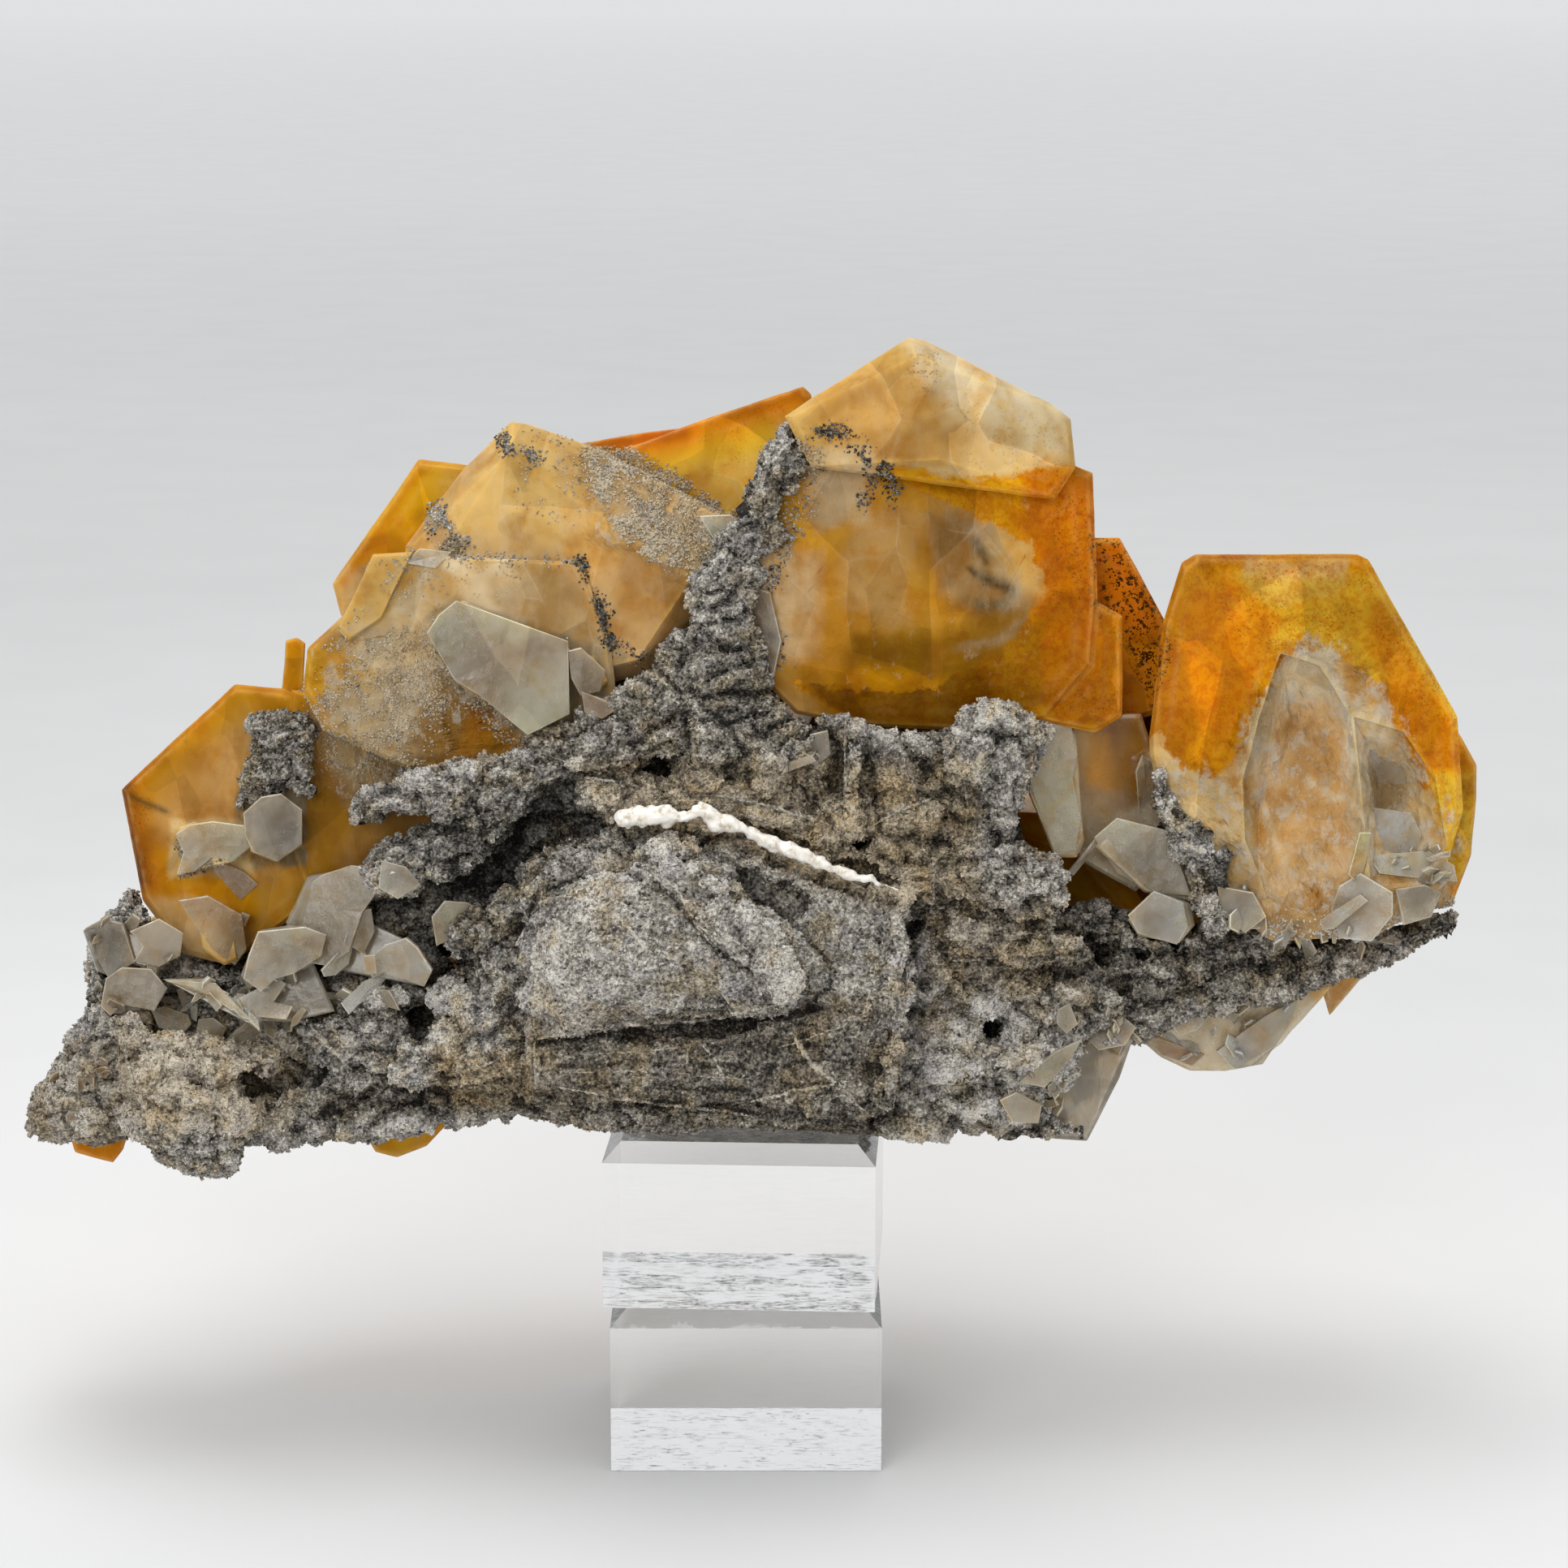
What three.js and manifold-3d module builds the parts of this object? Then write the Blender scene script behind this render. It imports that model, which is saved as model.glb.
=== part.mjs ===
// A golden calcite cluster on its grey matrix, resting on a stand of two clear acrylic blocks.
// Millimetres, +Z up, +X to the right, +Y away from the viewer. The origin is the middle of the
// stand's underside. The viewer faces the broken side, and the best crystals stand on the far side.

import * as THREE from "three";
import { ConvexGeometry } from "three/addons/geometries/ConvexGeometry.js";
import { ImprovedNoise } from "three/addons/math/ImprovedNoise.js";
import { SimplifyModifier } from "three/addons/modifiers/SimplifyModifier.js";
import { mergeVertices } from "three/addons/utils/BufferGeometryUtils.js";
import Module from "manifold-3d";

// Driving dimensions of the stand.
const blockWidth = 50; // also its depth
const blockHeight = 31;
const blockBevel = 3.3; // polished bevel round the top edges
const upperBlockTurn = THREE.MathUtils.degToRad(-3); // the upper block was set down a little askew
const contactGap = 0.3; // between pieces that touch
const standTop = 2 * blockHeight + contactGap;

// The outlines are drawn as the viewer sees them: millimetres across and up on a plane through
// viewTarget, square to the line of sight. Each point is then carried along its own line of sight
// to the depth, the Y, where its surface lies.
const viewTarget = new THREE.Vector3(7, 0, 124.7);
const viewDistance = 750;
const viewPitch = THREE.MathUtils.degToRad(12); // the viewer looks down this much

// Rock surface.
const rockFacet = 8.5; // longest edge along an outline
const rockSwell = 1.6; // height of the broad unevenness
const rockSwellLength = 17;
const rockPitting = 0.9; // height of the small unevenness
const rockPittingLength = 6.5;

// Share of the corners that joining and cutting leave over, which the shape can do without.
const spareCrystalCorners = 0.25;
const spareRockCorners = 0.35;

const sightForward = new THREE.Vector3(0, Math.cos(viewPitch), -Math.sin(viewPitch));
const sightUp = new THREE.Vector3(0, Math.sin(viewPitch), Math.cos(viewPitch));
const eye = viewTarget.clone().addScaledVector(sightForward, -viewDistance);

const wasm = await Module();
wasm.setup();

// The point at the given depth that is seen at (across, up).
function seen(across, up, depth) {
  const ray = sightForward.clone().multiplyScalar(viewDistance);
  ray.x += across;
  ray.addScaledVector(sightUp, up);
  return eye.clone().addScaledVector(ray, (depth - eye.y) / ray.y);
}

function middleOf(outline) {
  const sum = outline.reduce(([a, b], [across, up]) => [a + across, b + up], [0, 0]);
  return sum.map((value) => value / outline.length);
}

function solidFrom(geometry) {
  const bare = geometry.clone();
  bare.deleteAttribute("normal");
  bare.deleteAttribute("uv");
  const merged = mergeVertices(bare, 1e-3);
  return new wasm.Manifold(
    new wasm.Mesh({
      numProp: 3,
      vertProperties: merged.attributes.position.array,
      triVerts: new Uint32Array(merged.index.array),
    }),
  );
}

function geometryFrom(solid) {
  const mesh = solid.getMesh();
  const geometry = new THREE.BufferGeometry();
  geometry.setAttribute("position", new THREE.BufferAttribute(mesh.vertProperties, 3));
  geometry.setIndex(new THREE.BufferAttribute(mesh.triVerts, 1));
  return geometry;
}

function joined(solids) {
  return solids.reduce((whole, solid) => whole.add(solid));
}

function cutBack(solid, neighbours) {
  return neighbours.reduce((rest, neighbour) => rest.subtract(neighbour), solid);
}

// The largest body of a solid, without the crumbs and sealed voids that cuts leave.
function mainBody(solid) {
  const bodies = solid.decompose();
  return bodies.reduce((most, body) => (body.volume() > most.volume() ? body : most));
}

// The solid without the given share of its corners, the ones that the shape needs least.
async function trimmed(solid, share) {
  const geometry = geometryFrom(solid);
  const corners = Math.floor(geometry.attributes.position.count * share);
  return mainBody(solidFrom(await new SimplifyModifier().modify(geometry, corners)));
}

// A flat-faced crystal seen face on. Its outline holds from the near bevel to the far bevel, and
// the two end faces are the outline drawn in. lean gives how much deeper the faces lie for each
// millimetre across and up. The points of crest stand out of the near face and break it into facets.
// margin grows the crystal on every side.
function tabletCorners(crystal, margin) {
  const { outline, near, far, lean = [0, 0], bevel = 0.8, taper = 0.9, crest = [] } = crystal;
  const middle = middleOf(outline);
  const reach = outline.reduce(
    (sum, [across, up]) => sum + Math.hypot(across - middle[0], up - middle[1]) / outline.length,
    0,
  );
  const growth = 1 + (1.2 * margin) / reach;
  const rings = [
    [near - margin, growth - bevel / reach],
    [near + bevel - margin, growth],
    [far + margin, taper * growth],
  ];
  const corners = rings.flatMap(([depth, scale]) =>
    outline.map(([across, up]) => {
      const [fromAcross, fromUp] = [across - middle[0], up - middle[1]];
      const tilt = lean[0] * fromAcross + lean[1] * fromUp;
      return seen(middle[0] + fromAcross * scale, middle[1] + fromUp * scale, depth + tilt);
    }),
  );
  return [...corners, ...crest.map(([across, up, depth]) => seen(across, up, depth - margin))];
}

// A six-sided tabular crystal with bevels of two sizes in turn, as calcite's threefold form has.
function hexagonCorners({ at, axis, spin = 0, radius, thickness, bevel = 0.3, stretch = 1 }, margin) {
  const turn = new THREE.Quaternion().setFromUnitVectors(
    new THREE.Vector3(0, 0, 1),
    new THREE.Vector3(...axis).normalize(),
  );
  const middle = seen(...at);
  const corners = [];
  for (let side = 0; side < 6; side += 1) {
    const angle = spin + (side * Math.PI) / 3;
    const [broad, narrow] = side % 2 ? [bevel, bevel * 0.35] : [bevel * 0.35, bevel];
    for (const [height, inset] of [
      [thickness / 2, broad],
      [thickness / 2 - broad * radius * 0.55, 0],
      [narrow * radius * 0.55 - thickness / 2, 0],
      [-thickness / 2, narrow],
    ]) {
      const reach = radius * (1 - inset) + 1.2 * margin;
      const level = height + Math.sign(height) * margin;
      const corner = new THREE.Vector3(Math.cos(angle) * reach * stretch, Math.sin(angle) * reach, level);
      corners.push(corner.applyQuaternion(turn).add(middle));
    }
  }
  return corners;
}

// A crystal, or the crystal grown by a margin on every side, to cut its seat in a neighbour.
function crystalSolid(crystal, margin = 0) {
  const corners = crystal.axis ? hexagonCorners(crystal, margin) : tabletCorners(crystal, margin);
  return solidFrom(new ConvexGeometry(corners));
}

// Splits the edges of a closed outline, so that none is longer than a rock facet.
function resampled(outline) {
  return outline.flatMap((point, i) => {
    const next = outline[(i + 1) % outline.length];
    const count = Math.ceil(Math.hypot(next[0] - point[0], next[1] - point[1]) / rockFacet);
    return Array.from({ length: count }, (_, step) => [
      point[0] + ((next[0] - point[0]) * step) / count,
      point[1] + ((next[1] - point[1]) * step) / count,
    ]);
  });
}

// Moves a point of the rock by smooth noise, so that flat rock turns to facets.
const noise = new ImprovedNoise();
function weathered(point) {
  const shifts = [
    [rockSwell, rockSwellLength],
    [rockPitting, rockPittingLength],
  ];
  const place = point.toArray();
  const moved = place.map((value, axis) =>
    shifts.reduce((sum, [height, length]) => {
      const at = place.map((part) => part / length + 31.7 * (axis + 1));
      return sum + height * noise.noise(...at);
    }, value),
  );
  return new THREE.Vector3(...moved);
}

// A lump of rock seen face on. Rings of its outline run from the far face to the near one, and
// more rings close the near face over a crown that stands out towards the viewer. The outline is
// ragged, but every point of it must be in straight view of its middle.
function rockLump({ outline, near, far, lean = [0, 0], rim = 1.5, crown = 3, middle = middleOf(outline) }) {
  const points = resampled(outline);
  if (THREE.ShapeUtils.area(points.map((point) => new THREE.Vector2(...point))) < 0) points.reverse();
  const reach = points.reduce(
    (sum, [across, up]) => sum + Math.hypot(across - middle[0], up - middle[1]) / points.length,
    0,
  );
  const walls = Math.max(1, Math.round((far - near) / (2 * rockFacet)));
  const closing = Math.max(1, Math.round(reach / (1.3 * rockFacet)));
  const rings = Array.from({ length: walls }, (_, i) => [far + ((near + rim - far) * i) / walls, 1]);
  rings.push([near + rim, 1]);
  for (let i = closing; i > 0; i -= 1) {
    const scale = (i / closing) * (1 - rim / reach);
    rings.push([near - crown * (1 - scale * scale), scale]);
  }
  rings.push([near - crown, 0]);
  rings.unshift([far, 0]);
  const corners = [];
  const faces = [];
  const count = points.length;
  const starts = [];
  for (const [depth, scale] of rings) {
    starts.push(corners.length);
    for (const [across, up] of scale ? points : [middle]) {
      const [fromAcross, fromUp] = [(across - middle[0]) * scale, (up - middle[1]) * scale];
      const tilt = lean[0] * fromAcross + lean[1] * fromUp;
      corners.push(weathered(seen(middle[0] + fromAcross, middle[1] + fromUp, depth + tilt)));
    }
  }
  for (let ring = 0; ring + 1 < rings.length; ring += 1) {
    for (let i = 0; i < count; i += 1) {
      const [here, there] = [i, (i + 1) % count];
      const [low, high] = [starts[ring], starts[ring + 1]];
      if (!rings[ring][1]) faces.push(low, high + there, high + here);
      else if (!rings[ring + 1][1]) faces.push(low + here, low + there, high);
      else {
        const [a, b, c, d] = [low + here, low + there, high + there, high + here];
        if ((i + ring) % 2) faces.push(a, b, d, b, c, d);
        else faces.push(a, b, c, a, c, d);
      }
    }
  }
  return new wasm.Manifold(
    new wasm.Mesh({
      numProp: 3,
      vertProperties: new Float32Array(corners.flatMap((corner) => corner.toArray())),
      triVerts: new Uint32Array(faces),
    }),
  );
}

// A long thin strip of rock between two depths, without a crown.
function rockStrip({ outline, near, far, lean = [0, 0], smooth = false }) {
  const middle = middleOf(outline);
  const shape = new THREE.Shape(outline.map((point) => new THREE.Vector2(...point)));
  const geometry = new THREE.ExtrudeGeometry(shape, { depth: far - near, bevelEnabled: false, steps: 1 });
  const position = geometry.attributes.position;
  for (let i = 0; i < position.count; i += 1) {
    const [across, up] = [position.getX(i), position.getY(i)];
    const tilt = lean[0] * (across - middle[0]) + lean[1] * (up - middle[1]);
    const flat = seen(across, up, far - position.getZ(i) + tilt);
    const point = smooth ? flat : weathered(flat);
    position.setXYZ(i, point.x, point.y, point.z);
  }
  return solidFrom(geometry);
}

// The crystals, in groups that are each grown together.
const groups = {
  left_crystals: [
    // the broad amber crystal at the left
    {
      outline: [
        [-122.5, -1], [-101.5, 18.5], [-92, 17.5], [-77.5, 10], [-73.5, -5], [-80.5, -17], [-97, -29],
        [-102.5, -33.5], [-111, -31.5], [-118.5, -21.5],
      ],
      near: -11, far: 26, lean: [-0.15, 0.06], bevel: 1.1, crest: [[-98, -4, -12.5], [-86, -9, -14]],
    },
    // the amber crystal behind the pale slab
    {
      outline: [
        [-83.5, 37], [-67.5, 60], [-58, 59], [-47.5, 55], [-46, 40], [-61, 25], [-79, 25], [-82, 31.5],
      ],
      near: 4, far: 38, lean: [-0.12, 0.1], bevel: 1.1,
    },
    // the pale slab at the top
    {
      outline: [
        [-59, 58.5], [-50.5, 67], [-47, 66.5], [-34.5, 62], [-12, 50], [-6.5, 46], [-13, 34],
        [-25, 20.5], [-49, 14.5], [-70, 25], [-70, 44],
      ],
      near: -8, far: 24, lean: [0.04, 0.14], bevel: 1.1,
      crest: [[-65, 40, -12.5], [-51, 61, -10.5], [-17, 38, -12.5], [-27, 23, -15], [-48, 18, -16]],
    },
    // the slanting bar on its left
    {
      outline: [[-76, 42.5], [-68.5, 43], [-69.5, 41], [-74.5, 30.5], [-80.5, 26.5], [-82.5, 28.5]],
      near: -19, far: 6, lean: [0.1, 0.1], bevel: 0.6,
    },
    // the peach block in front
    {
      outline: [
        [-80.5, 26.5], [-69.5, 42.5], [-47.5, 41.5], [-37.5, 41], [-32, 25.5], [-31, 16], [-40, 9],
        [-49, 2.5], [-70, 3], [-85, 10], [-89, 17.5], [-88, 25],
      ],
      near: -18, far: 20, lean: [0.05, 0.1], bevel: 0.8,
    },
    // the block under it
    {
      outline: [
        [-91, 17.5], [-74.5, 14.5], [-61, 10], [-49, 2.5], [-55, -5], [-70, -12.5], [-79, -20],
        [-88, -21.5], [-94, -5],
      ],
      near: -14, far: 22, lean: [-0.05, 0.08], bevel: 0.8,
    },
    // the grey six-sided plate
    {
      outline: [
        [-65.5, 29], [-59.5, 34], [-41, 26.5], [-39.5, 14], [-47.5, 11], [-59, 17.5], [-65, 23.5],
      ],
      near: -24, far: -10, lean: [0.12, 0.12], bevel: 0.6,
    },
    {
      outline: [
        [-40.5, 25], [-35, 23.5], [-32.5, 19], [-34.5, 17], [-39, 18.5],
      ],
      near: -21, far: -8, bevel: 0.5,
    },
    // small plates grown on the left crystal
    {
      outline: [[-100, -5.5], [-94, -2], [-89, -5], [-89, -11.5], [-94, -14.5], [-98.5, -12.5]],
      near: -19, far: -6, lean: [0.08, 0], bevel: 0.5, taper: 1,
    },
    {
      outline: [[-112, -8], [-109, -7], [-100, -8], [-98.5, -11.5], [-102, -14.5], [-111, -16.5]],
      near: -16, far: -4, lean: [-0.1, 0.2], bevel: 0.5, taper: 1,
    },
    {
      outline: [[-109, -21], [-104, -23.5], [-102, -25], [-101, -32.5], [-103.5, -33.5], [-107.5, -30.5]],
      near: -16, far: -2, lean: [-0.3, 0], bevel: 0.5, taper: 1,
    },
    {
      outline: [
        [-92, 26.5], [-90, 27], [-88.5, 26], [-89, 15.5], [-93, 14],
      ],
      near: -9, far: 3, bevel: 0.4, taper: 1,
    },
  ],
  peak_crystals: [
    // the pointed top crystal
    {
      outline: [
        [0, 68], [23, 82.5], [26, 82], [49, 70.5], [53, 67.5], [54, 58.5], [50, 52.5], [37.5, 56.5],
        [21, 58.5], [5, 58.5],
      ],
      near: -19, far: 24, lean: [0, 0.16], bevel: 1, crest: [[24.5, 79, -19.2], [29, 60, -23.5]],
    },
    // the broad crystal under it
    {
      outline: [
        [3, 65.5], [53.5, 59], [57, 57.5], [58, 34], [57, 22], [48.5, 12], [32, 10], [17, 10.5],
        [2, 13], [-7, 22], [-9, 36], [-6, 52],
      ],
      near: -16, far: 34, lean: [0, 0.08], bevel: 0.9, crest: [[22, 52, -17.5], [34, 22, -19.5], [8, 27, -17.5]],
    },
    // the crystal at its right foot
    {
      outline: [
        [47, 32.5], [53.5, 36.5], [62.5, 31], [62.5, 12.5], [57.5, 9.5], [47, 11.5], [42.5, 20.5],
      ],
      near: -16, far: 22, lean: [0.08, 0.05], bevel: 0.8,
    },
    // the dark speckled crystal behind
    {
      outline: [
        [57, 45.5], [62, 45.5], [70.5, 30], [69, 13], [59, 10], [54, 31],
      ],
      near: 3, far: 36, lean: [0.05, 0.1],
    },
    // the long slabs behind, between the left group and the peak
    {
      outline: [
        [-29.5, 62], [-13, 68], [3.5, 73.5], [5, 72], [6.5, 61], [-1, 47.5], [-10, 44.5], [-25, 52],
      ],
      near: 4, far: 36, lean: [0.05, 0.14], bevel: 0.7,
    },
    {
      outline: [[-37.5, 63], [-25.5, 65], [-19.5, 65.5], [-10, 67], [-13, 52.5], [-31, 54.5]],
      near: 18, far: 42, lean: [0, 0.15], bevel: 0.6,
    },
  ],
  right_crystal: [
    {
      outline: [
        [73.5, 41], [76, 42.5], [106, 42.5], [108, 41.5], [124.5, 12.5], [125.5, -5], [120.5, -21.5],
        [108.5, -28.5], [90, -29], [80, -21.5], [70.5, -5], [67.5, 5.5], [67.5, 9], [70, 30],
      ],
      near: -16.5, far: 32, lean: [0, 0.14], bevel: 1.2, crest: [[86, 33, -15.5], [86, -16, -22]],
    },
    {
      outline: [
        [119, 17.5], [125, 9], [128, 3.5], [128, -2], [127, -13], [123.5, -22.5], [110, -24.5],
        [102.5, 10],
      ],
      near: -2, far: 32, lean: [0.1, 0.05], bevel: 0.9,
    },
  ],
  pocket_crystals: [
    {
      outline: [[50, 13], [66, 13], [70, -5], [74, -12.5], [65, -20], [54.5, -14], [48.5, 1]],
      near: -6, far: 24, lean: [0.1, 0.1],
    },
    {
      outline: [
        [45.5, 5.5], [51, 11.5], [54, 10], [53.5, -1.5], [55.5, -10.5], [54, -13.5], [50, -13.5],
        [45, -1.5],
      ],
      near: -15, far: -2, lean: [0.3, 0.05], bevel: 0.6,
    },
    {
      outline: [[57.5, -11.5], [62.5, -6.5], [73, -10], [80, -17], [78.5, -22.5], [66.5, -20]],
      near: -15, far: 4, lean: [0.15, 0.3], bevel: 0.6,
    },
    {
      outline: [[63.5, -25], [69.5, -20], [75, -22], [76, -26], [73, -29.5], [65.5, -28]],
      near: -20, far: -6, lean: [0.1, 0.1], bevel: 0.6, taper: 1,
    },
  ],
  underside_crystals: [
    {
      outline: [
        [65, -46.5], [68, -41], [95, -35], [101, -37.5], [95, -43], [92, -48], [86.5, -52],
        [81.5, -53], [75, -53], [69.5, -50.5],
      ],
      near: 2, far: 30, lean: [0.1, 0], bevel: 0.7,
    },
    {
      outline: [
        [98, -31], [110, -28.5], [108.5, -34], [104.5, -39], [100.5, -43.5],
      ],
      near: 12, far: 22, bevel: 0.5,
    },
  ],
  foot_crystal: [
    {
      outline: [[52, -47], [56, -46.5], [64.5, -46.5], [62, -54.5], [56, -66], [49, -65.5], [50, -56]],
      near: -16, far: 8, lean: [0.25, 0], bevel: 0.7,
    },
  ],
  left_shelf_crystals: [
    {
      outline: [[-88, -17], [-80, -15.5], [-78, -17], [-81, -28], [-85, -28], [-92, -26]],
      near: -20, far: -8, lean: [0.2, 0.1], bevel: 0.5, taper: 1,
    },
    {
      outline: [
        [-97, -27], [-91, -26], [-84.5, -26], [-81.5, -28], [-85, -32], [-88, -34], [-99, -38],
        [-100.5, -35.5],
      ],
      near: -23, far: -9, lean: [0.1, 0.2], bevel: 0.5, taper: 1,
    },
    {
      outline: [
        [-84, -25], [-77, -25.5], [-69, -29], [-65.5, -34], [-66.5, -37.5], [-74, -35.5], [-84, -34],
      ],
      near: -21, far: -9, lean: [-0.1, 0.25], bevel: 0.5, taper: 1,
    },
    {
      outline: [[-102.5, -41.5], [-94, -35], [-87, -33], [-83, -42], [-92, -44], [-101, -43.5]],
      near: -24, far: -11, lean: [0, 0.4], bevel: 0.5, taper: 1,
    },
    {
      outline: [[-115, -36], [-107, -36], [-96, -43.5], [-98.5, -44.5], [-108, -38]],
      near: -26, far: -14, lean: [0, 0.4], bevel: 0.5, taper: 1,
    },
  ],
  left_end_crystals: [
    {
      outline: [[-129.5, -27], [-123, -25.5], [-119, -33], [-122, -36.5], [-127, -34.5]],
      near: -15, far: -1, lean: [0.3, 0], bevel: 0.5, taper: 1,
    },
    {
      outline: [[-122, -26.5], [-114.5, -26], [-113, -31], [-118, -34], [-121.5, -33]],
      near: -17, far: -3, lean: [0, 0.3], bevel: 0.5, taper: 1,
    },
    {
      outline: [
        [-125.5, -40.5], [-124, -35], [-117, -33.5], [-115.5, -37.5], [-119, -42], [-124.5, -42.5],
      ],
      near: -19, far: -4, lean: [0.1, 0.2], bevel: 0.5, taper: 1,
    },
  ],
  // the far side, where the cluster shows its best crystals
  rear_left_crystals: [
    { at: [-104, -38, 22], axis: [-0.5, 0.8, -0.1], spin: 0.2, radius: 19, thickness: 24 },
    { at: [-79, -28, 34], axis: [-0.2, 0.95, 0.35], spin: 0.5, radius: 25, thickness: 26, stretch: 0.9 },
    { at: [-122, -54, 14], axis: [-0.3, 0.9, -0.3], spin: 0.3, radius: 10, thickness: 12 },
    { at: [-61, -48, 30], axis: [0.2, 0.9, -0.4], spin: 0.1, radius: 13.5, thickness: 16 },
    { at: [-58, -4, 36], axis: [0.3, 0.9, 0.1], spin: 0.9, radius: 25, thickness: 28 },
    { at: [-93, -2, 32], axis: [-0.6, 0.8, 0.2], spin: 0.5, radius: 17, thickness: 20 },
    // the two amber tips that show under the rock
    {
      outline: [
        [-78, -63.5], [-74.5, -52], [-61, -54], [-61, -61.5], [-66, -67], [-71.5, -69], [-75.5, -68],
      ],
      near: 12, far: 34, bevel: 0.6,
    },
    {
      outline: [[-132.5, -63.5], [-127, -55], [-119, -54], [-122, -67.5], [-124, -70], [-131, -68]],
      near: 9, far: 26, bevel: 0.6,
    },
  ],
  rear_middle_crystals: [
    { at: [-24, -18, 40], axis: [0.1, 0.9, 0.4], spin: 0.35, radius: 29, thickness: 30, bevel: 0.25 },
    { at: [-20, 24, 34], axis: [-0.35, 0.85, 0.35], spin: 0.1, radius: 24, thickness: 28 },
    { at: [10, -31, 38], axis: [0.2, 0.95, -0.25], spin: 0.6, radius: 17, thickness: 24 },
    { at: [18, 2, 40], axis: [-0.1, 0.9, 0.1], spin: 0.15, radius: 26, thickness: 28, stretch: 0.85 },
  ],
  rear_right_crystals: [
    { at: [50, -20, 34], axis: [0.35, 0.9, 0.15], spin: 0.7, radius: 24, thickness: 28 },
    { at: [84, -22, 34], axis: [0.3, 0.9, -0.15], spin: 0.2, radius: 19, thickness: 22 },
    { at: [73, 4, 32], axis: [-0.3, 0.9, 0.4], spin: 0.4, radius: 16, thickness: 18 },
  ],
};

// The broken, etched hollows in the front of the right crystal.
const brokenHollows = [
  {
    outline: [
      [91.5, 26.5], [87, 13], [84, 1], [84.5, -11], [89, -21.5], [98, -25.5], [105.5, -22.5],
      [108, -14], [106.5, 1], [105, 13], [99, 23.5],
    ],
    near: -32, far: -13, lean: [0, 0.14], bevel: 13.5, taper: 0.45,
  },
  {
    outline: [[105, 13], [114.5, 10], [120.5, 1], [122.5, -11], [118, -18.5], [108.5, -20], [107, -5]],
    near: -32, far: -12.5, lean: [0.05, 0.14], bevel: 13.5, taper: 0.4,
  },
];

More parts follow.
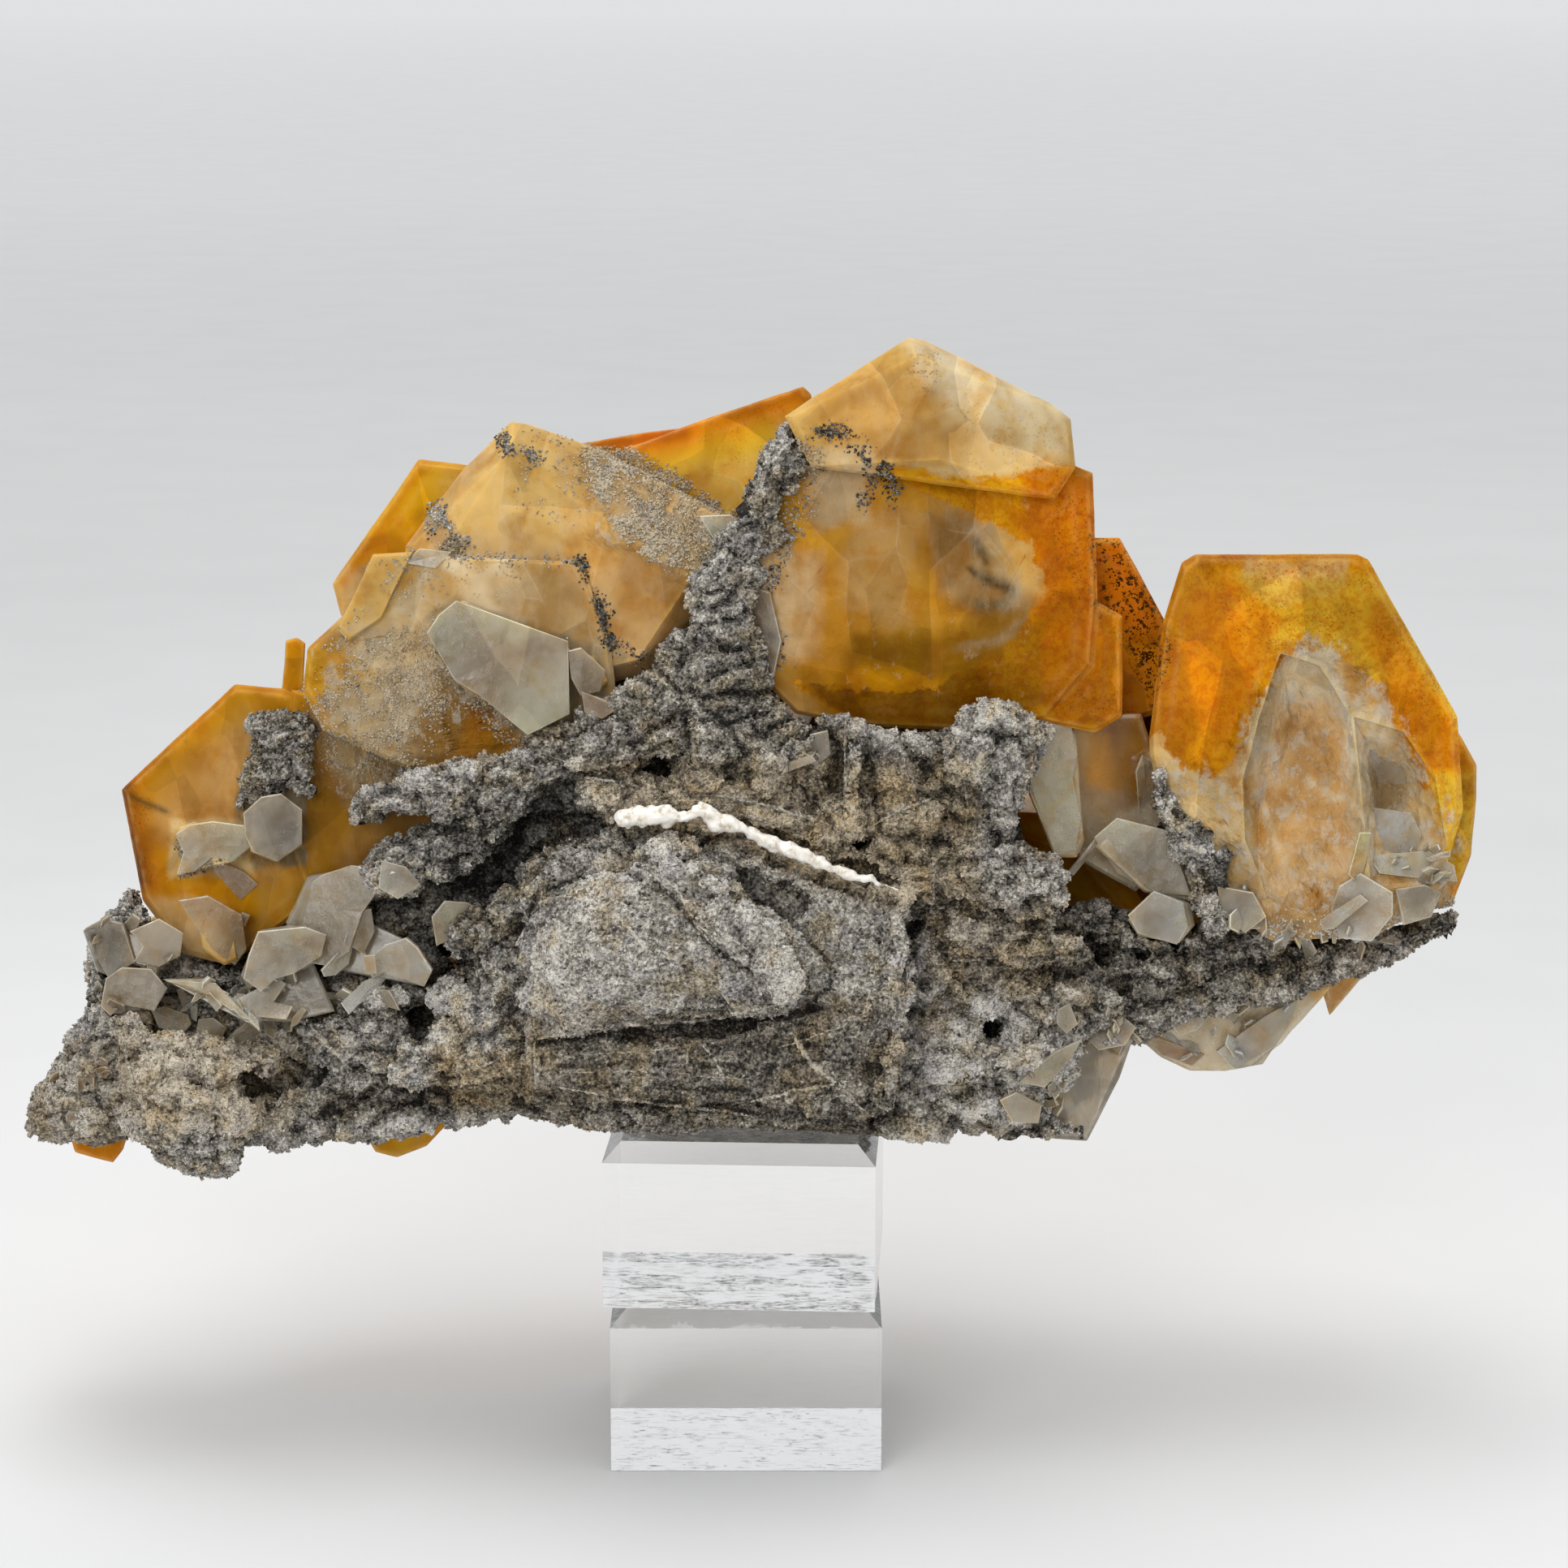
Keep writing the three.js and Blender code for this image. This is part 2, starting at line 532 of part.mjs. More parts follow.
// The rock, lump by lump.
const rockLumps = [
  // the box-like lump in the middle, and the boulder that stands out of it
  {
    outline: [
      [-47, -20], [-40, -14], [-30, -8], [-14.5, -6.5], [2, -11], [14, -16.5], [23.5, -21.5],
      [24.5, -26], [20.5, -42.5], [17, -61], [11, -63], [-14.5, -63], [-40, -62], [-47.5, -57],
    ],
    near: -33, far: 24, lean: [0, 0.28],
  },
  {
    outline: [
      [-45.5, -29], [-40, -19], [-26.5, -11], [-17.5, -10], [-8.5, -14.5], [-0.5, -22], [3, -33.5],
      [1.5, -40], [-16, -42], [-34, -45], [-42.5, -47.5], [-45.5, -41],
    ],
    near: -39, far: -20, lean: [0, 0.3], rim: 4, crown: 5,
  },
  // the wing on its left
  {
    outline: [
      [-64.5, -27.5], [-60.5, -25], [-51.5, -20], [-47, -15], [-38, -10], [-40, -20], [-41.5, -57.5],
      [-61, -57.5], [-73, -54], [-73, -50.5], [-69, -43], [-64, -37.5], [-57.5, -34.5],
    ],
    near: -28, far: 10, lean: [-0.15, 0.25], middle: [-48, -40],
  },
  // the pyramid
  {
    outline: [
      [-47.5, 9], [-41.5, 12], [-25, 21], [-17.5, 29.5], [-14.5, 33.5], [-10, 35], [-5.5, 31],
      [-4, 20.5], [0, 13], [-0.5, 3], [-10, 0], [-13, -2], [-20.5, 2.5], [-26.5, 3.5], [-37, 1],
      [-47, 4.5],
    ],
    near: -23, far: 8, lean: [0, 0.2], crown: 5, middle: [-17, 11],
  },
  // the wall of the hollow behind the arms, and the rock behind the plates
  {
    outline: [
      [-61, 1], [-34, 5.5], [-20, 0], [-31, -11], [-40, -22], [-55, -30], [-67, -29], [-79, -33.5],
      [-80.5, -20], [-67, -11],
    ],
    near: -10, far: 18, rim: 2, crown: 0,
  },
  {
    outline: [
      [-20, 2], [20, 8], [44, 6], [42, -10], [50, -22], [20, -30], [-20, -20],
    ],
    near: -12, far: 20, crown: 0,
  },
  // the body at the right
  {
    outline: [
      [20, -20], [32, -23], [41, -26], [54.5, -33], [65, -41], [55.5, -48], [53, -54.5], [48.5, -57],
      [42.5, -63], [35, -65.5], [18, -64], [16.5, -50],
    ],
    near: -25, far: 22, lean: [0.12, 0.15],
  },
  // the left end
  {
    outline: [
      [-121, -43], [-116, -45], [-108.5, -46.5], [-102, -49], [-94, -50], [-95, -55], [-97, -61],
      [-100, -65.5], [-102, -71.5], [-106.5, -73], [-108.5, -71], [-118, -66.5], [-122, -64],
      [-121.5, -56.5], [-122, -50.5],
    ],
    near: -28, far: -6, lean: [0.1, 0.2], rim: 2.5, crown: 4,
  },
  {
    outline: [
      [-138.5, -61.5], [-137.5, -57.5], [-136, -54.5], [-134, -51], [-132, -47], [-128, -41.5],
      [-126.5, -38.5], [-120, -41], [-112, -50], [-112, -63.5], [-122.5, -65], [-127, -66],
      [-133.5, -65], [-137.5, -63.5],
    ],
    near: -16, far: 8, lean: [-0.2, 0.1], rim: 2,
  },
  {
    outline: [
      [-127.5, -33.5], [-125.5, -26], [-120, -20], [-115, -30.5], [-100, -33.5], [-82, -34.5],
      [-67, -29], [-61, -35], [-61, -54.5], [-94, -62], [-115, -62], [-128.5, -50],
    ],
    near: -13, far: 14, lean: [0, 0.2], crown: 1, middle: [-92, -46],
  },
  {
    outline: [
      [-92, -42], [-88.5, -38], [-82.5, -37], [-75.5, -36], [-66, -38], [-67, -48.5], [-73.5, -54],
      [-82, -54.5], [-86.5, -50], [-90.5, -44.5],
    ],
    near: -21, far: -4, lean: [0, 0.2], rim: 2.5,
  },
];
const rockTeeth = [
  // teeth and ledges right of the box-like lump
  {
    outline: [
      [28, 7], [34, 14], [39, 16], [47, 11], [46, 2], [43, -3], [36, -1], [30, 3],
    ],
    near: -29, far: -14,
  },
  {
    outline: [
      [32, -10.5], [43, -11], [50.5, -14.5], [53, -19], [50.5, -22], [48, -26.5], [40, -24],
      [30.5, -22.5],
    ],
    near: -30, far: -14,
  },
  {
    outline: [
      [31, -25], [42, -26], [55, -28], [66, -31], [52, -32.5], [38, -32], [30, -31.5],
    ],
    near: -29, far: -12, crown: 1,
  },
  {
    outline: [
      [39, -48], [44, -47], [51.5, -49.5], [48, -53], [42.5, -55.5], [38, -52],
    ],
    near: -28, far: -12, crown: 2,
  },
  { outline: [[-6, 8], [2, 12], [6, 6], [4, -2], [-6, -3]], near: -27, far: -12 },
  // the folded plate over the boulder
  {
    outline: [
      [-25, -10], [-16, -10], [-10, -18], [-11, -22.5], [-2.5, -27], [0, -31.5], [1.5, -36.5],
      [0.5, -40], [-4, -35], [-12.5, -30], [-19, -22],
    ],
    near: -42, far: -30, lean: [0, 0.3], rim: 1, crown: 1,
  },
];
const rockStrips = [
  // the lid of the box-like lump, which slopes down to the white vein
  {
    outline: [
      [-37, -0.5], [-36.5, 2], [-25, 0], [-12, -2], [3, -5], [15, -9], [26, -13], [27, -19],
      [22.5, -20.5], [14, -16.5], [5, -13], [-5.5, -9], [-16, -6.5], [-25, -6.5], [-31, -8],
    ],
    near: -26, far: -10, lean: [0.35, 1.4],
  },
  // the raised frame at both sides of it, and the thin upright plate above it
  {
    outline: [
      [-48.5, -20], [-45.5, -19], [-45.5, -40], [-46.5, -57], [-49.5, -57], [-48, -40],
    ],
    near: -36, far: -20, lean: [0, 0.28],
  },
  {
    outline: [
      [20.5, -19], [23.5, -20], [23, -40], [19.5, -60], [16.5, -60], [19.5, -40],
    ],
    near: -37, far: -20, lean: [0, 0.28],
  },
  { outline: [[11.2, 12], [14.2, 12], [14.4, -10], [11.4, -9]], near: -31, far: -16 },
  // the crust on the lower left edge of the right crystal
  {
    outline: [[68, 4.5], [74, -3.5], [85.5, -15], [86, -28], [79, -27], [73.5, -13.5], [69, -3]],
    near: -22, far: -8, lean: [0, 0.12],
  },
  // the seam that runs up between the crystals
  {
    outline: [
      [-18, 31], [-17.5, 37.5], [-13, 41.5], [-9, 47.5], [-2.5, 58.5], [0.5, 65.5], [5, 66], [7, 64],
      [3, 55], [-1, 47], [3.5, 45.5], [-4, 42.5], [-6, 34], [-9, 28.5],
    ],
    near: -19, far: 6, lean: [0, 0.12],
  },
  // the two arms at the left
  {
    outline: [
      [-80.5, -6], [-78, -2], [-69, 3], [-61.5, 3.5], [-50, 3.5], [-47, 4.5], [-38, 5], [-38, 1.5],
      [-43.5, -0.5], [-48, -3.5], [-56, -6.5], [-62.5, -7], [-67.5, -5.5], [-75.5, -7.5], [-79, -8.5],
    ],
    near: -28, far: -8,
  },
  {
    outline: [
      [-78, -16], [-73.5, -11.5], [-67.5, -9], [-62, -6], [-55, -4.5], [-46, -1], [-50, -9],
      [-60.5, -16.5], [-67.5, -17], [-68, -19.5], [-75.5, -21], [-77.5, -20],
    ],
    near: -27, far: -8,
  },
  // the plates right of the pyramid
  {
    outline: [
      [-10, 4], [3, 4], [6.5, 12.5], [13.5, 12.5], [15, 9.5], [21.5, 9], [33.5, 10], [34, 14.5],
      [38, 15.5], [42.5, 14.5], [47.5, 10.5], [46, 3], [43, -5], [42.5, -11.5], [50, -15.5], [53, -21],
      [48.5, -26.5], [27.5, -24], [20, -21.5], [11, -15.5], [-1, -10.5], [-25, -6.5], [-37, -3],
      [-36.5, 1], [-25, 1.5],
    ],
    near: -26, far: -8, lean: [0, 0.12],
  },
  // the long arm to the right
  {
    outline: [
      [32, -23], [50, -26], [57.5, -23], [72.5, -27.5], [83, -24.5], [95, -29], [110, -28.5],
      [124, -24], [122, -27], [107, -34.5], [89, -39], [75.5, -43], [65, -47], [53, -48.5],
      [35, -45.5],
    ],
    near: -14, far: 18, lean: [0.06, 0.25],
  },
  // the floor of the whole piece
  {
    outline: [
      [-100, -66], [-94, -57], [-73, -53], [-47.5, -54.5], [-13, -56], [20, -57.5], [48.5, -59],
      [55, -65], [45.5, -67], [27.5, -64.5], [14, -64.5], [5, -63.5], [-14.5, -63], [-20.5, -65],
      [-31, -63], [-55, -62], [-73, -63.5], [-88, -66],
    ],
    near: -22, far: 22, lean: [0, 0.2],
  },
];

// Holes and undercuts in the rock.
const rockHollows = [
  {
    outline: [
      [-14, -11.5], [10, -20], [5, -26], [-1, -27.5], [-9, -21.5],
    ],
    near: -52, far: -27, lean: [0, 0.28], taper: 0.7,
  },
  { outline: [[30, -25.5], [38, -24], [38.5, -26], [30, -27]], near: -40, far: -18 },
  { outline: [[22, -25], [29, -26.5], [29.5, -28.5], [22, -28]], near: -40, far: -18 },
  { outline: [[28, -60], [40, -62], [41, -68], [30, -70]], near: -40, far: -16, taper: 0.6 },
  {
    outline: [
      [-43, -47], [-16, -43], [1, -41], [4, -45], [-12, -48], [-36, -51],
    ],
    near: -56, far: -34, lean: [0, 0.3], taper: 0.6,
  },
  { outline: [[-25, 6], [-20, 5], [-18, 0.5], [-22, -1], [-27, 1.5]], near: -40, far: -14 },
  { outline: [[-60.5, -30], [-57, -31], [-57, -38], [-60, -38]], near: -40, far: -14 },
  { outline: [[12, -9], [16, -9.5], [15, -13], [11, -12.5]], near: -40, far: -18 },
  { outline: [[37, -43], [41.5, -44], [40, -48], [36, -47]], near: -40, far: -16 },
  { outline: [[52, -27], [66, -30], [70, -33], [58, -33]], near: -30, far: -6 },
  { outline: [[-70, -40], [-65, -39], [-63, -44], [-67, -50], [-71, -46]], near: -34, far: -10 },
  { outline: [[-102, -53], [-96, -52], [-95, -58], [-100, -61]], near: -34, far: -10 },
];

// The crust of rock that sits by itself on the left crystal.
const leftCrust = {
  outline: [
    [-97.5, 12.5], [-95.5, 13.5], [-89, 13.5], [-86.5, 11], [-87.5, 5.5], [-87, -2], [-92.5, -1.5],
    [-100, -5], [-101, -4], [-100, 0], [-98.5, 4.5],
  ],
  near: -18, far: -6, lean: [-0.1, 0.06], crown: 1,
};

// The white calcite vein along the front edge of the lid.
const veinLine = [[-30, -6.5], [-22, -5], [-16, -5.3], [-8, -7.4], [2, -11], [14, -15.6], [22.5, -19.2]];
const veinWidth = 2.2;
const veinBody = { near: -34, far: -24, smooth: true };

// The outline of a band of the given width that bends along a line.
function bandOutline(line, width) {
  const upper = line.map(([across, up]) => [across, up + width / 2]);
  const lower = line.map(([across, up]) => [across, up - width / 2]);
  return [...upper, ...lower.reverse()];
}

const crystalFinish = new THREE.MeshStandardMaterial({ color: 0xd9962f, roughness: 0.3, metalness: 0 });
const paleFinish = new THREE.MeshStandardMaterial({ color: 0xcfc3ab, roughness: 0.3, metalness: 0 });
const rockFinish = new THREE.MeshStandardMaterial({ color: 0x85807a, roughness: 0.95, metalness: 0 });
const veinFinish = new THREE.MeshStandardMaterial({ color: 0xe6ded2, roughness: 0.5, metalness: 0 });
const acrylicFinish = new THREE.MeshStandardMaterial({
  color: 0xf2f6f7, roughness: 0.05, metalness: 0, transparent: true, opacity: 0.3,
});
const paleGroups = [
  "pocket_crystals",
  "underside_crystals",
  "foot_crystal",
  "left_shelf_crystals",
  "left_end_crystals",
];

const cluster = new THREE.Group();

function addPiece(name, solid, finish) {
  const geometry = geometryFrom(solid);
  geometry.computeVertexNormals();
  const mesh = new THREE.Mesh(geometry, finish);
  mesh.name = name;
  cluster.add(mesh);
  return mesh;
}

// One block of the stand, a square plate with bevelled top edges.
function acrylicBlock() {
  const half = blockWidth / 2;
  const corners = [
    [half, 0],
    [half, blockHeight - blockBevel],
    [half - blockBevel, blockHeight],
  ].flatMap(([reach, height]) =>
    [[1, 1], [-1, 1], [-1, -1], [1, -1]].map(([x, y]) => new THREE.Vector3(x * reach, y * reach, height)),
  );
  return new ConvexGeometry(corners);
}

const lowerBlock = new THREE.Mesh(acrylicBlock(), acrylicFinish);
lowerBlock.name = "lower_acrylic_block";
cluster.add(lowerBlock);

const upperBlock = new THREE.Mesh(acrylicBlock(), acrylicFinish);
upperBlock.name = "upper_acrylic_block";
upperBlock.position.z = blockHeight + contactGap;
upperBlock.rotation.z = upperBlockTurn;
cluster.add(upperBlock);

// Crystal groups, each cut back from the groups before it.
const seats = [];
const crystalSolids = {};
for (const [name, crystals] of Object.entries(groups)) {
  const whole = joined(crystals.map((crystal) => crystalSolid(crystal)));
  const broken = name === "right_crystal" ? brokenHollows.map((hollow) => crystalSolid(hollow)) : [];
  crystalSolids[name] = await trimmed(mainBody(cutBack(whole, [...seats, ...broken])), spareCrystalCorners);
  seats.push(joined(crystals.map((crystal) => crystalSolid(crystal, contactGap))));
}

// The rock: joined slabs, weathered, cut back from the crystals, and flat where it rests.
const restHalf = 60;
const rest = solidFrom(
  new THREE.BoxGeometry(2 * restHalf, 2 * restHalf, standTop).translate(0, 0, standTop / 2 + contactGap),
);
const rockParts = [...rockLumps, ...rockTeeth].map(rockLump);
const rawRock = joined([...rockParts, ...rockStrips.map(rockStrip)]);
const hollows = rockHollows.map((hollow) => crystalSolid(hollow));
const vein = rockStrip({ ...veinBody, outline: bandOutline(veinLine, veinWidth) });
const veinSeat = rockStrip({
  outline: bandOutline(veinLine, veinWidth + 2 * contactGap),
  near: veinBody.near - contactGap,
  far: veinBody.far + contactGap,
  smooth: true,
});
const cutRock = mainBody(cutBack(rawRock, [rest, ...hollows, ...seats]));
const rock = mainBody((await trimmed(cutRock, spareRockCorners)).subtract(veinSeat));
const crust = mainBody(cutBack(rockLump(leftCrust), seats));

for (const [name, solid] of Object.entries(crystalSolids)) {
  addPiece(name, solid, paleGroups.includes(name) ? paleFinish : crystalFinish);
}
addPiece("matrix", rock, rockFinish);
addPiece("left_rock_crust", crust, rockFinish);
addPiece("white_vein", vein, veinFinish);

export default cluster;
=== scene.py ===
# A golden calcite cluster on its grey matrix, standing on two clear acrylic blocks.
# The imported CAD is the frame. Everything here is in its millimetres until a mesh is written.

import math
import time

import bpy
import numpy as np
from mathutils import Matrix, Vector
from mathutils.bvhtree import BVHTree


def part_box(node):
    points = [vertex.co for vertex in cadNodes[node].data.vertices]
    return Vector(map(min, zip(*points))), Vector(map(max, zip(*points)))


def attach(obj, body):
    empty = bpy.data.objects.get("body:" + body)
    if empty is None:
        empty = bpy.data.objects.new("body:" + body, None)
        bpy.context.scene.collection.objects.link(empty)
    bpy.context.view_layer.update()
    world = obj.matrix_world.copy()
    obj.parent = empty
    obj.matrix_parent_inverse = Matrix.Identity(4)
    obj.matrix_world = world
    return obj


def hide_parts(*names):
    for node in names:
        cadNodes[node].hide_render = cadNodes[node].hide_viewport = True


began = time.time()


def report(stage):
    print(f"{time.time() - began:6.1f} s  {stage}")


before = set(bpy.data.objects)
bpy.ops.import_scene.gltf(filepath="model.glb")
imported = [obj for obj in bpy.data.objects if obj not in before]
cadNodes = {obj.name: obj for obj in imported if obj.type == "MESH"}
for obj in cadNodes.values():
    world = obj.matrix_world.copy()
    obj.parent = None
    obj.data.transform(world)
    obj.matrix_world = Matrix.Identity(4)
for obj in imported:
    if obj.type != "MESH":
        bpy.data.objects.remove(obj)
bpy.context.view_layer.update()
body = "root"
mm = 0.001
report(f"frame loaded: {len(cadNodes)} nodes")

# The outlines and strokes below are given in points of a 1932 x 1932 picture, 0.15 mm each on the
# upright plane through aim, as the camera sees them.
view = {
    "aim": np.array([7.0, 0.0, 124.7]),
    "distance": 750.0,
    "pitch": 12.0,
    "picture": 1932,
    "point": 0.15,
}
pitch = math.radians(view["pitch"])
forward = np.array([0.0, math.cos(pitch), -math.sin(pitch)])
upward = np.array([0.0, math.sin(pitch), math.cos(pitch)])
eye = view["aim"] - view["distance"] * forward


def acrossUp(picturePoints):
    # Picture points to millimetres right of and above the middle of the picture.
    spots = np.asarray(picturePoints, float)
    half = view["picture"] / 2
    return np.stack([spots[..., 0] - half, half - spots[..., 1]], -1) * view["point"]


def carried(picturePoints, depth):
    # Each point moves along its own line of sight until its Y is the depth.
    flat = acrossUp(picturePoints)
    ray = view["distance"] * forward + flat[..., :1] * [1.0, 0.0, 0.0] + flat[..., 1:] * upward
    reach = (np.asarray(depth, float) - eye[1]) / ray[..., 1]
    return eye + ray * reach[..., None]


def onPicture(points):
    # Where points in space are seen, in picture points.
    ray = points - eye
    scale = view["distance"] / (ray @ forward) / view["point"]
    half = view["picture"] / 2
    return np.stack([half + ray[:, 0] * scale, half - (ray @ upward) * scale], -1)


def stepUp(value, low, high):
    # Rises smoothly from 0 at low to 1 at high, and falls where low is above high.
    share = np.clip((value - low) / (high - low), 0, 1)
    return share * share * (3 - 2 * share)


def traced(line):
    # The points of a line that is written as "x y,x y,..."; an array passes through.
    if isinstance(line, str):
        line = [spot.split() for spot in line.split(",")]
    return np.array(line, float)


def closed(outline):
    outline = traced(outline)
    return np.concatenate([outline, outline[:1]])


def toLine(spots, line):
    # Distance from each point to the nearest stretch of an open line.
    line = traced(line)
    start, run = line[:-1], np.diff(line, axis=0)
    best = np.full(len(spots), np.inf)
    for a, d in zip(start, run):
        share = np.clip((spots - a) @ d / max(d @ d, 1e-9), 0, 1)
        best = np.minimum(best, np.linalg.norm(spots - a - share[:, None] * d, axis=1))
    return best


def inside(spots, outline):
    # Even-odd rule: a point is inside where a ray to its right crosses the outline an odd number of times.
    line = traced(outline)
    odd = np.zeros(len(spots), bool)
    for a, b in zip(line, np.roll(line, -1, axis=0)):
        if a[1] != b[1]:
            crosses = (spots[:, 1] < a[1]) != (spots[:, 1] < b[1])
            at = a[0] + (spots[:, 1] - a[1]) * (b[0] - a[0]) / (b[1] - a[1])
            odd ^= crosses & (spots[:, 0] < at)
    return odd


def between(points, nearest, farthest):
    # Whether each point's Y lies between the two.
    return (points[:, 1] > nearest) & (points[:, 1] < farthest)


def lengthAlong(line):
    # How far along the line each of its points lies.
    return np.concatenate([[0], np.cumsum(np.linalg.norm(np.diff(line[:, :2], axis=0), axis=1))])


def patch(spots, outline, edge):
    # 1 inside the outline, falling to 0 over the edge's width around it.
    return np.where(inside(spots, outline), 1.0, stepUp(toLine(spots, closed(outline)), edge, 0))


def strongest(spots, areas):
    # The strongest of the areas' patches at each spot; an area is its outline, edge and amount.
    return np.max([amount * patch(spots, outline, edge) for outline, edge, amount in areas], 0)


def stroke(spots, line, width):
    # A bell across the line: 1 on it and near 0 at twice its width.
    return np.exp(-((toLine(spots, line) / width) ** 2))


# Noise
def scrambled(cells, seed):
    # Mixes whole-number cell places into even numbers from 0 to 1.
    c = cells.astype(np.int64).astype(np.uint32)
    h = c[..., 0] * np.uint32(0x8DA6B343) ^ c[..., 1] * np.uint32(0xD8163841)
    h = h ^ c[..., 2] * np.uint32(0xCB1AB31F) ^ np.uint32(seed * 2654435761 & 0xFFFFFFFF)
    for shift, factor in ((16, 0x7FEB352D), (15, 0x846CA68B)):
        h = (h ^ (h >> np.uint32(shift))) * np.uint32(factor)
    return (h ^ (h >> np.uint32(16))).astype(np.float64) / 4294967296.0


def swell(points, size, seed):
    # Gradient noise: a random slope at each lattice corner, blended with a fifth-power fade. About -1 to 1.
    p = points / size
    base = np.floor(p)
    f = p - base
    fade = f * f * f * (f * (f * 6 - 15) + 10)
    total = np.zeros(len(p))
    for corner in np.ndindex(2, 2, 2):
        corner = np.array(corner)
        weight = np.prod(np.where(corner, fade, 1 - fade), axis=1)
        slope = [scrambled(base + corner, seed * 3 + axis) * 2 - 1 for axis in range(3)]
        total += weight * sum(slope[axis] * (f[:, axis] - corner[axis]) for axis in range(3))
    return total * 1.7


def octaves(points, size, seed, count=3, keep=0.5):
    # Sum of gradient noises, each half as large and keep times as strong as the one before.
    return sum(keep**k * swell(points, size / 2**k, seed + 7 * k) for k in range(count))


def cells(points, size, seed):
    # Distance to the nearest and the second nearest random seed, in cell sizes, and a number for the cell.
    p = points / size
    base = np.floor(p)
    near, second, label = (np.full(len(p), 9.0), np.full(len(p), 9.0), np.zeros(len(p)))
    for offset in np.ndindex(3, 3, 3):
        cell = base + np.array(offset) - 1
        seedAt = cell + np.stack([scrambled(cell, seed * 5 + axis) for axis in range(3)], -1)
        away = np.linalg.norm(p - seedAt, axis=1)
        closer = away < near
        second = np.where(closer, near, np.minimum(second, away))
        label = np.where(closer, scrambled(cell, seed * 5 + 4), label)
        near = np.where(closer, away, near)
    return near, second, label


# Meshes
def writeMesh(name, points, faces, values=None, smooth=False):
    # Points in millimetres and faces of one size become a mesh object at the origin.
    mesh = bpy.data.meshes.new(name)
    faces = np.asarray(faces, np.int32)
    mesh.vertices.add(len(points))
    mesh.vertices.foreach_set("co", (np.asarray(points) * mm).astype(np.float32).ravel())
    mesh.loops.add(faces.size)
    mesh.loops.foreach_set("vertex_index", faces.ravel())
    mesh.polygons.add(len(faces))
    mesh.polygons.foreach_set("loop_start", np.arange(0, faces.size, faces.shape[1], dtype=np.int32))
    mesh.polygons.foreach_set("use_smooth", np.full(len(faces), smooth))
    mesh.update(calc_edges=True)
    for key, value in (values or {}).items():
        layer = mesh.attributes.new(key, "FLOAT", "POINT")
        layer.data.foreach_set("value", np.asarray(value, np.float32))
    made = bpy.data.objects.new(name, mesh)
    bpy.context.scene.collection.objects.link(made)
    return made


def readAll(items, key, width=1, kind=np.int32):
    # One property of all the items, in rows of its width.
    flat = np.empty(len(items) * width, kind)
    items.foreach_get(key, flat)
    return flat.reshape(-1, width) if width > 1 else flat


def joinedTriangles(node):
    # The CAD node's loose triangles with their shared corners merged, in millimetres.
    mesh = cadNodes[node].data
    mesh.calc_loop_triangles()
    points = readAll(mesh.vertices, "co", 3, np.float32).astype(float) / mm
    _, first, same = np.unique(np.round(points, 3), axis=0, return_index=True, return_inverse=True)
    faces = same.reshape(-1)[readAll(mesh.loop_triangles, "vertices", 3)]
    whole = (faces[:, 0] != faces[:, 1]) & (faces[:, 1] != faces[:, 2]) & (faces[:, 2] != faces[:, 0])
    return points[first], faces[whole]


def unit(rows):
    return rows / np.maximum(np.linalg.norm(rows, axis=-1, keepdims=True), 1e-12)


def crossOf(points, faces):
    # The cross product of two sides of each face, which is twice its area long for a triangle.
    corner = points[faces]
    return np.cross(corner[:, 1] - corner[:, 0], corner[:, 2] - corner[:, 0])


def faceNormals(points, faces):
    return unit(crossOf(points, faces))


def joined(meshes):
    # Several meshes' points and faces as one mesh's.
    starts = np.cumsum([0] + [len(points) for points, _ in meshes])
    faces = [faces + start for (_, faces), start in zip(meshes, starts)]
    return np.concatenate([points for points, _ in meshes]), np.concatenate(faces)


def repeated(corners, faces):
    # One mesh of many copies of a shape, from the corners of each copy and the shape's faces.
    starts = corners.shape[1] * np.arange(len(corners))[:, None, None]
    return corners.reshape(-1, 3), (faces + starts).reshape(-1, 3)


def summed(places, rows, count):
    # Adds every row to the total of its place.
    return np.stack([np.bincount(places, rows[:, k], count) for k in range(3)], -1)


def cornerNormals(points, faces):
    # Each corner's normal is the area-weighted mean of its faces' normals.
    if faces.shape[1] == 3:
        across = crossOf(points, faces)
    else:
        corner = points[faces]
        across = np.cross(corner[:, 2] - corner[:, 0], corner[:, 3] - corner[:, 1])
    return unit(summed(faces.T.ravel(), np.tile(across, (faces.shape[1], 1)), len(points)))


def edgesOf(faces):
    # Every edge once, with its two faces (-1 where there is only one) and each face's edge numbers.
    count = faces.shape[1]
    pairs = np.stack([faces, np.roll(faces, -1, axis=1)], -1).reshape(-1, 2)
    edges, which = np.unique(np.sort(pairs, axis=1), axis=0, return_inverse=True)
    which = which.reshape(-1)
    order = np.argsort(which, kind="stable")
    owner = np.repeat(np.arange(len(faces)), count)[order]
    start = np.searchsorted(which[order], np.arange(len(edges)))
    amount = np.bincount(which, minlength=len(edges))
    second = np.where(amount > 1, owner[np.minimum(start + 1, len(owner) - 1)], -1)
    return edges, np.stack([owner[start], second], -1), which.reshape(-1, count)


def sharpEdges(points, faces, angle):
    # The outward edges where two faces turn by more than the angle, as pairs of end points.
    edges, sides, _ = edgesOf(faces)
    normals = faceNormals(points, faces)
    middles = points[faces].mean(1)
    paired = (sides >= 0).all(1)
    one, two = sides[:, 0], sides[:, 1]
    turn = np.sum(normals[one] * normals[two], 1) < math.cos(math.radians(angle))
    outward = np.sum((middles[two] - middles[one]) * normals[one], 1) < -1e-6
    kept = edges[paired & turn & outward]
    return points[kept[:, 0]], points[kept[:, 1]]


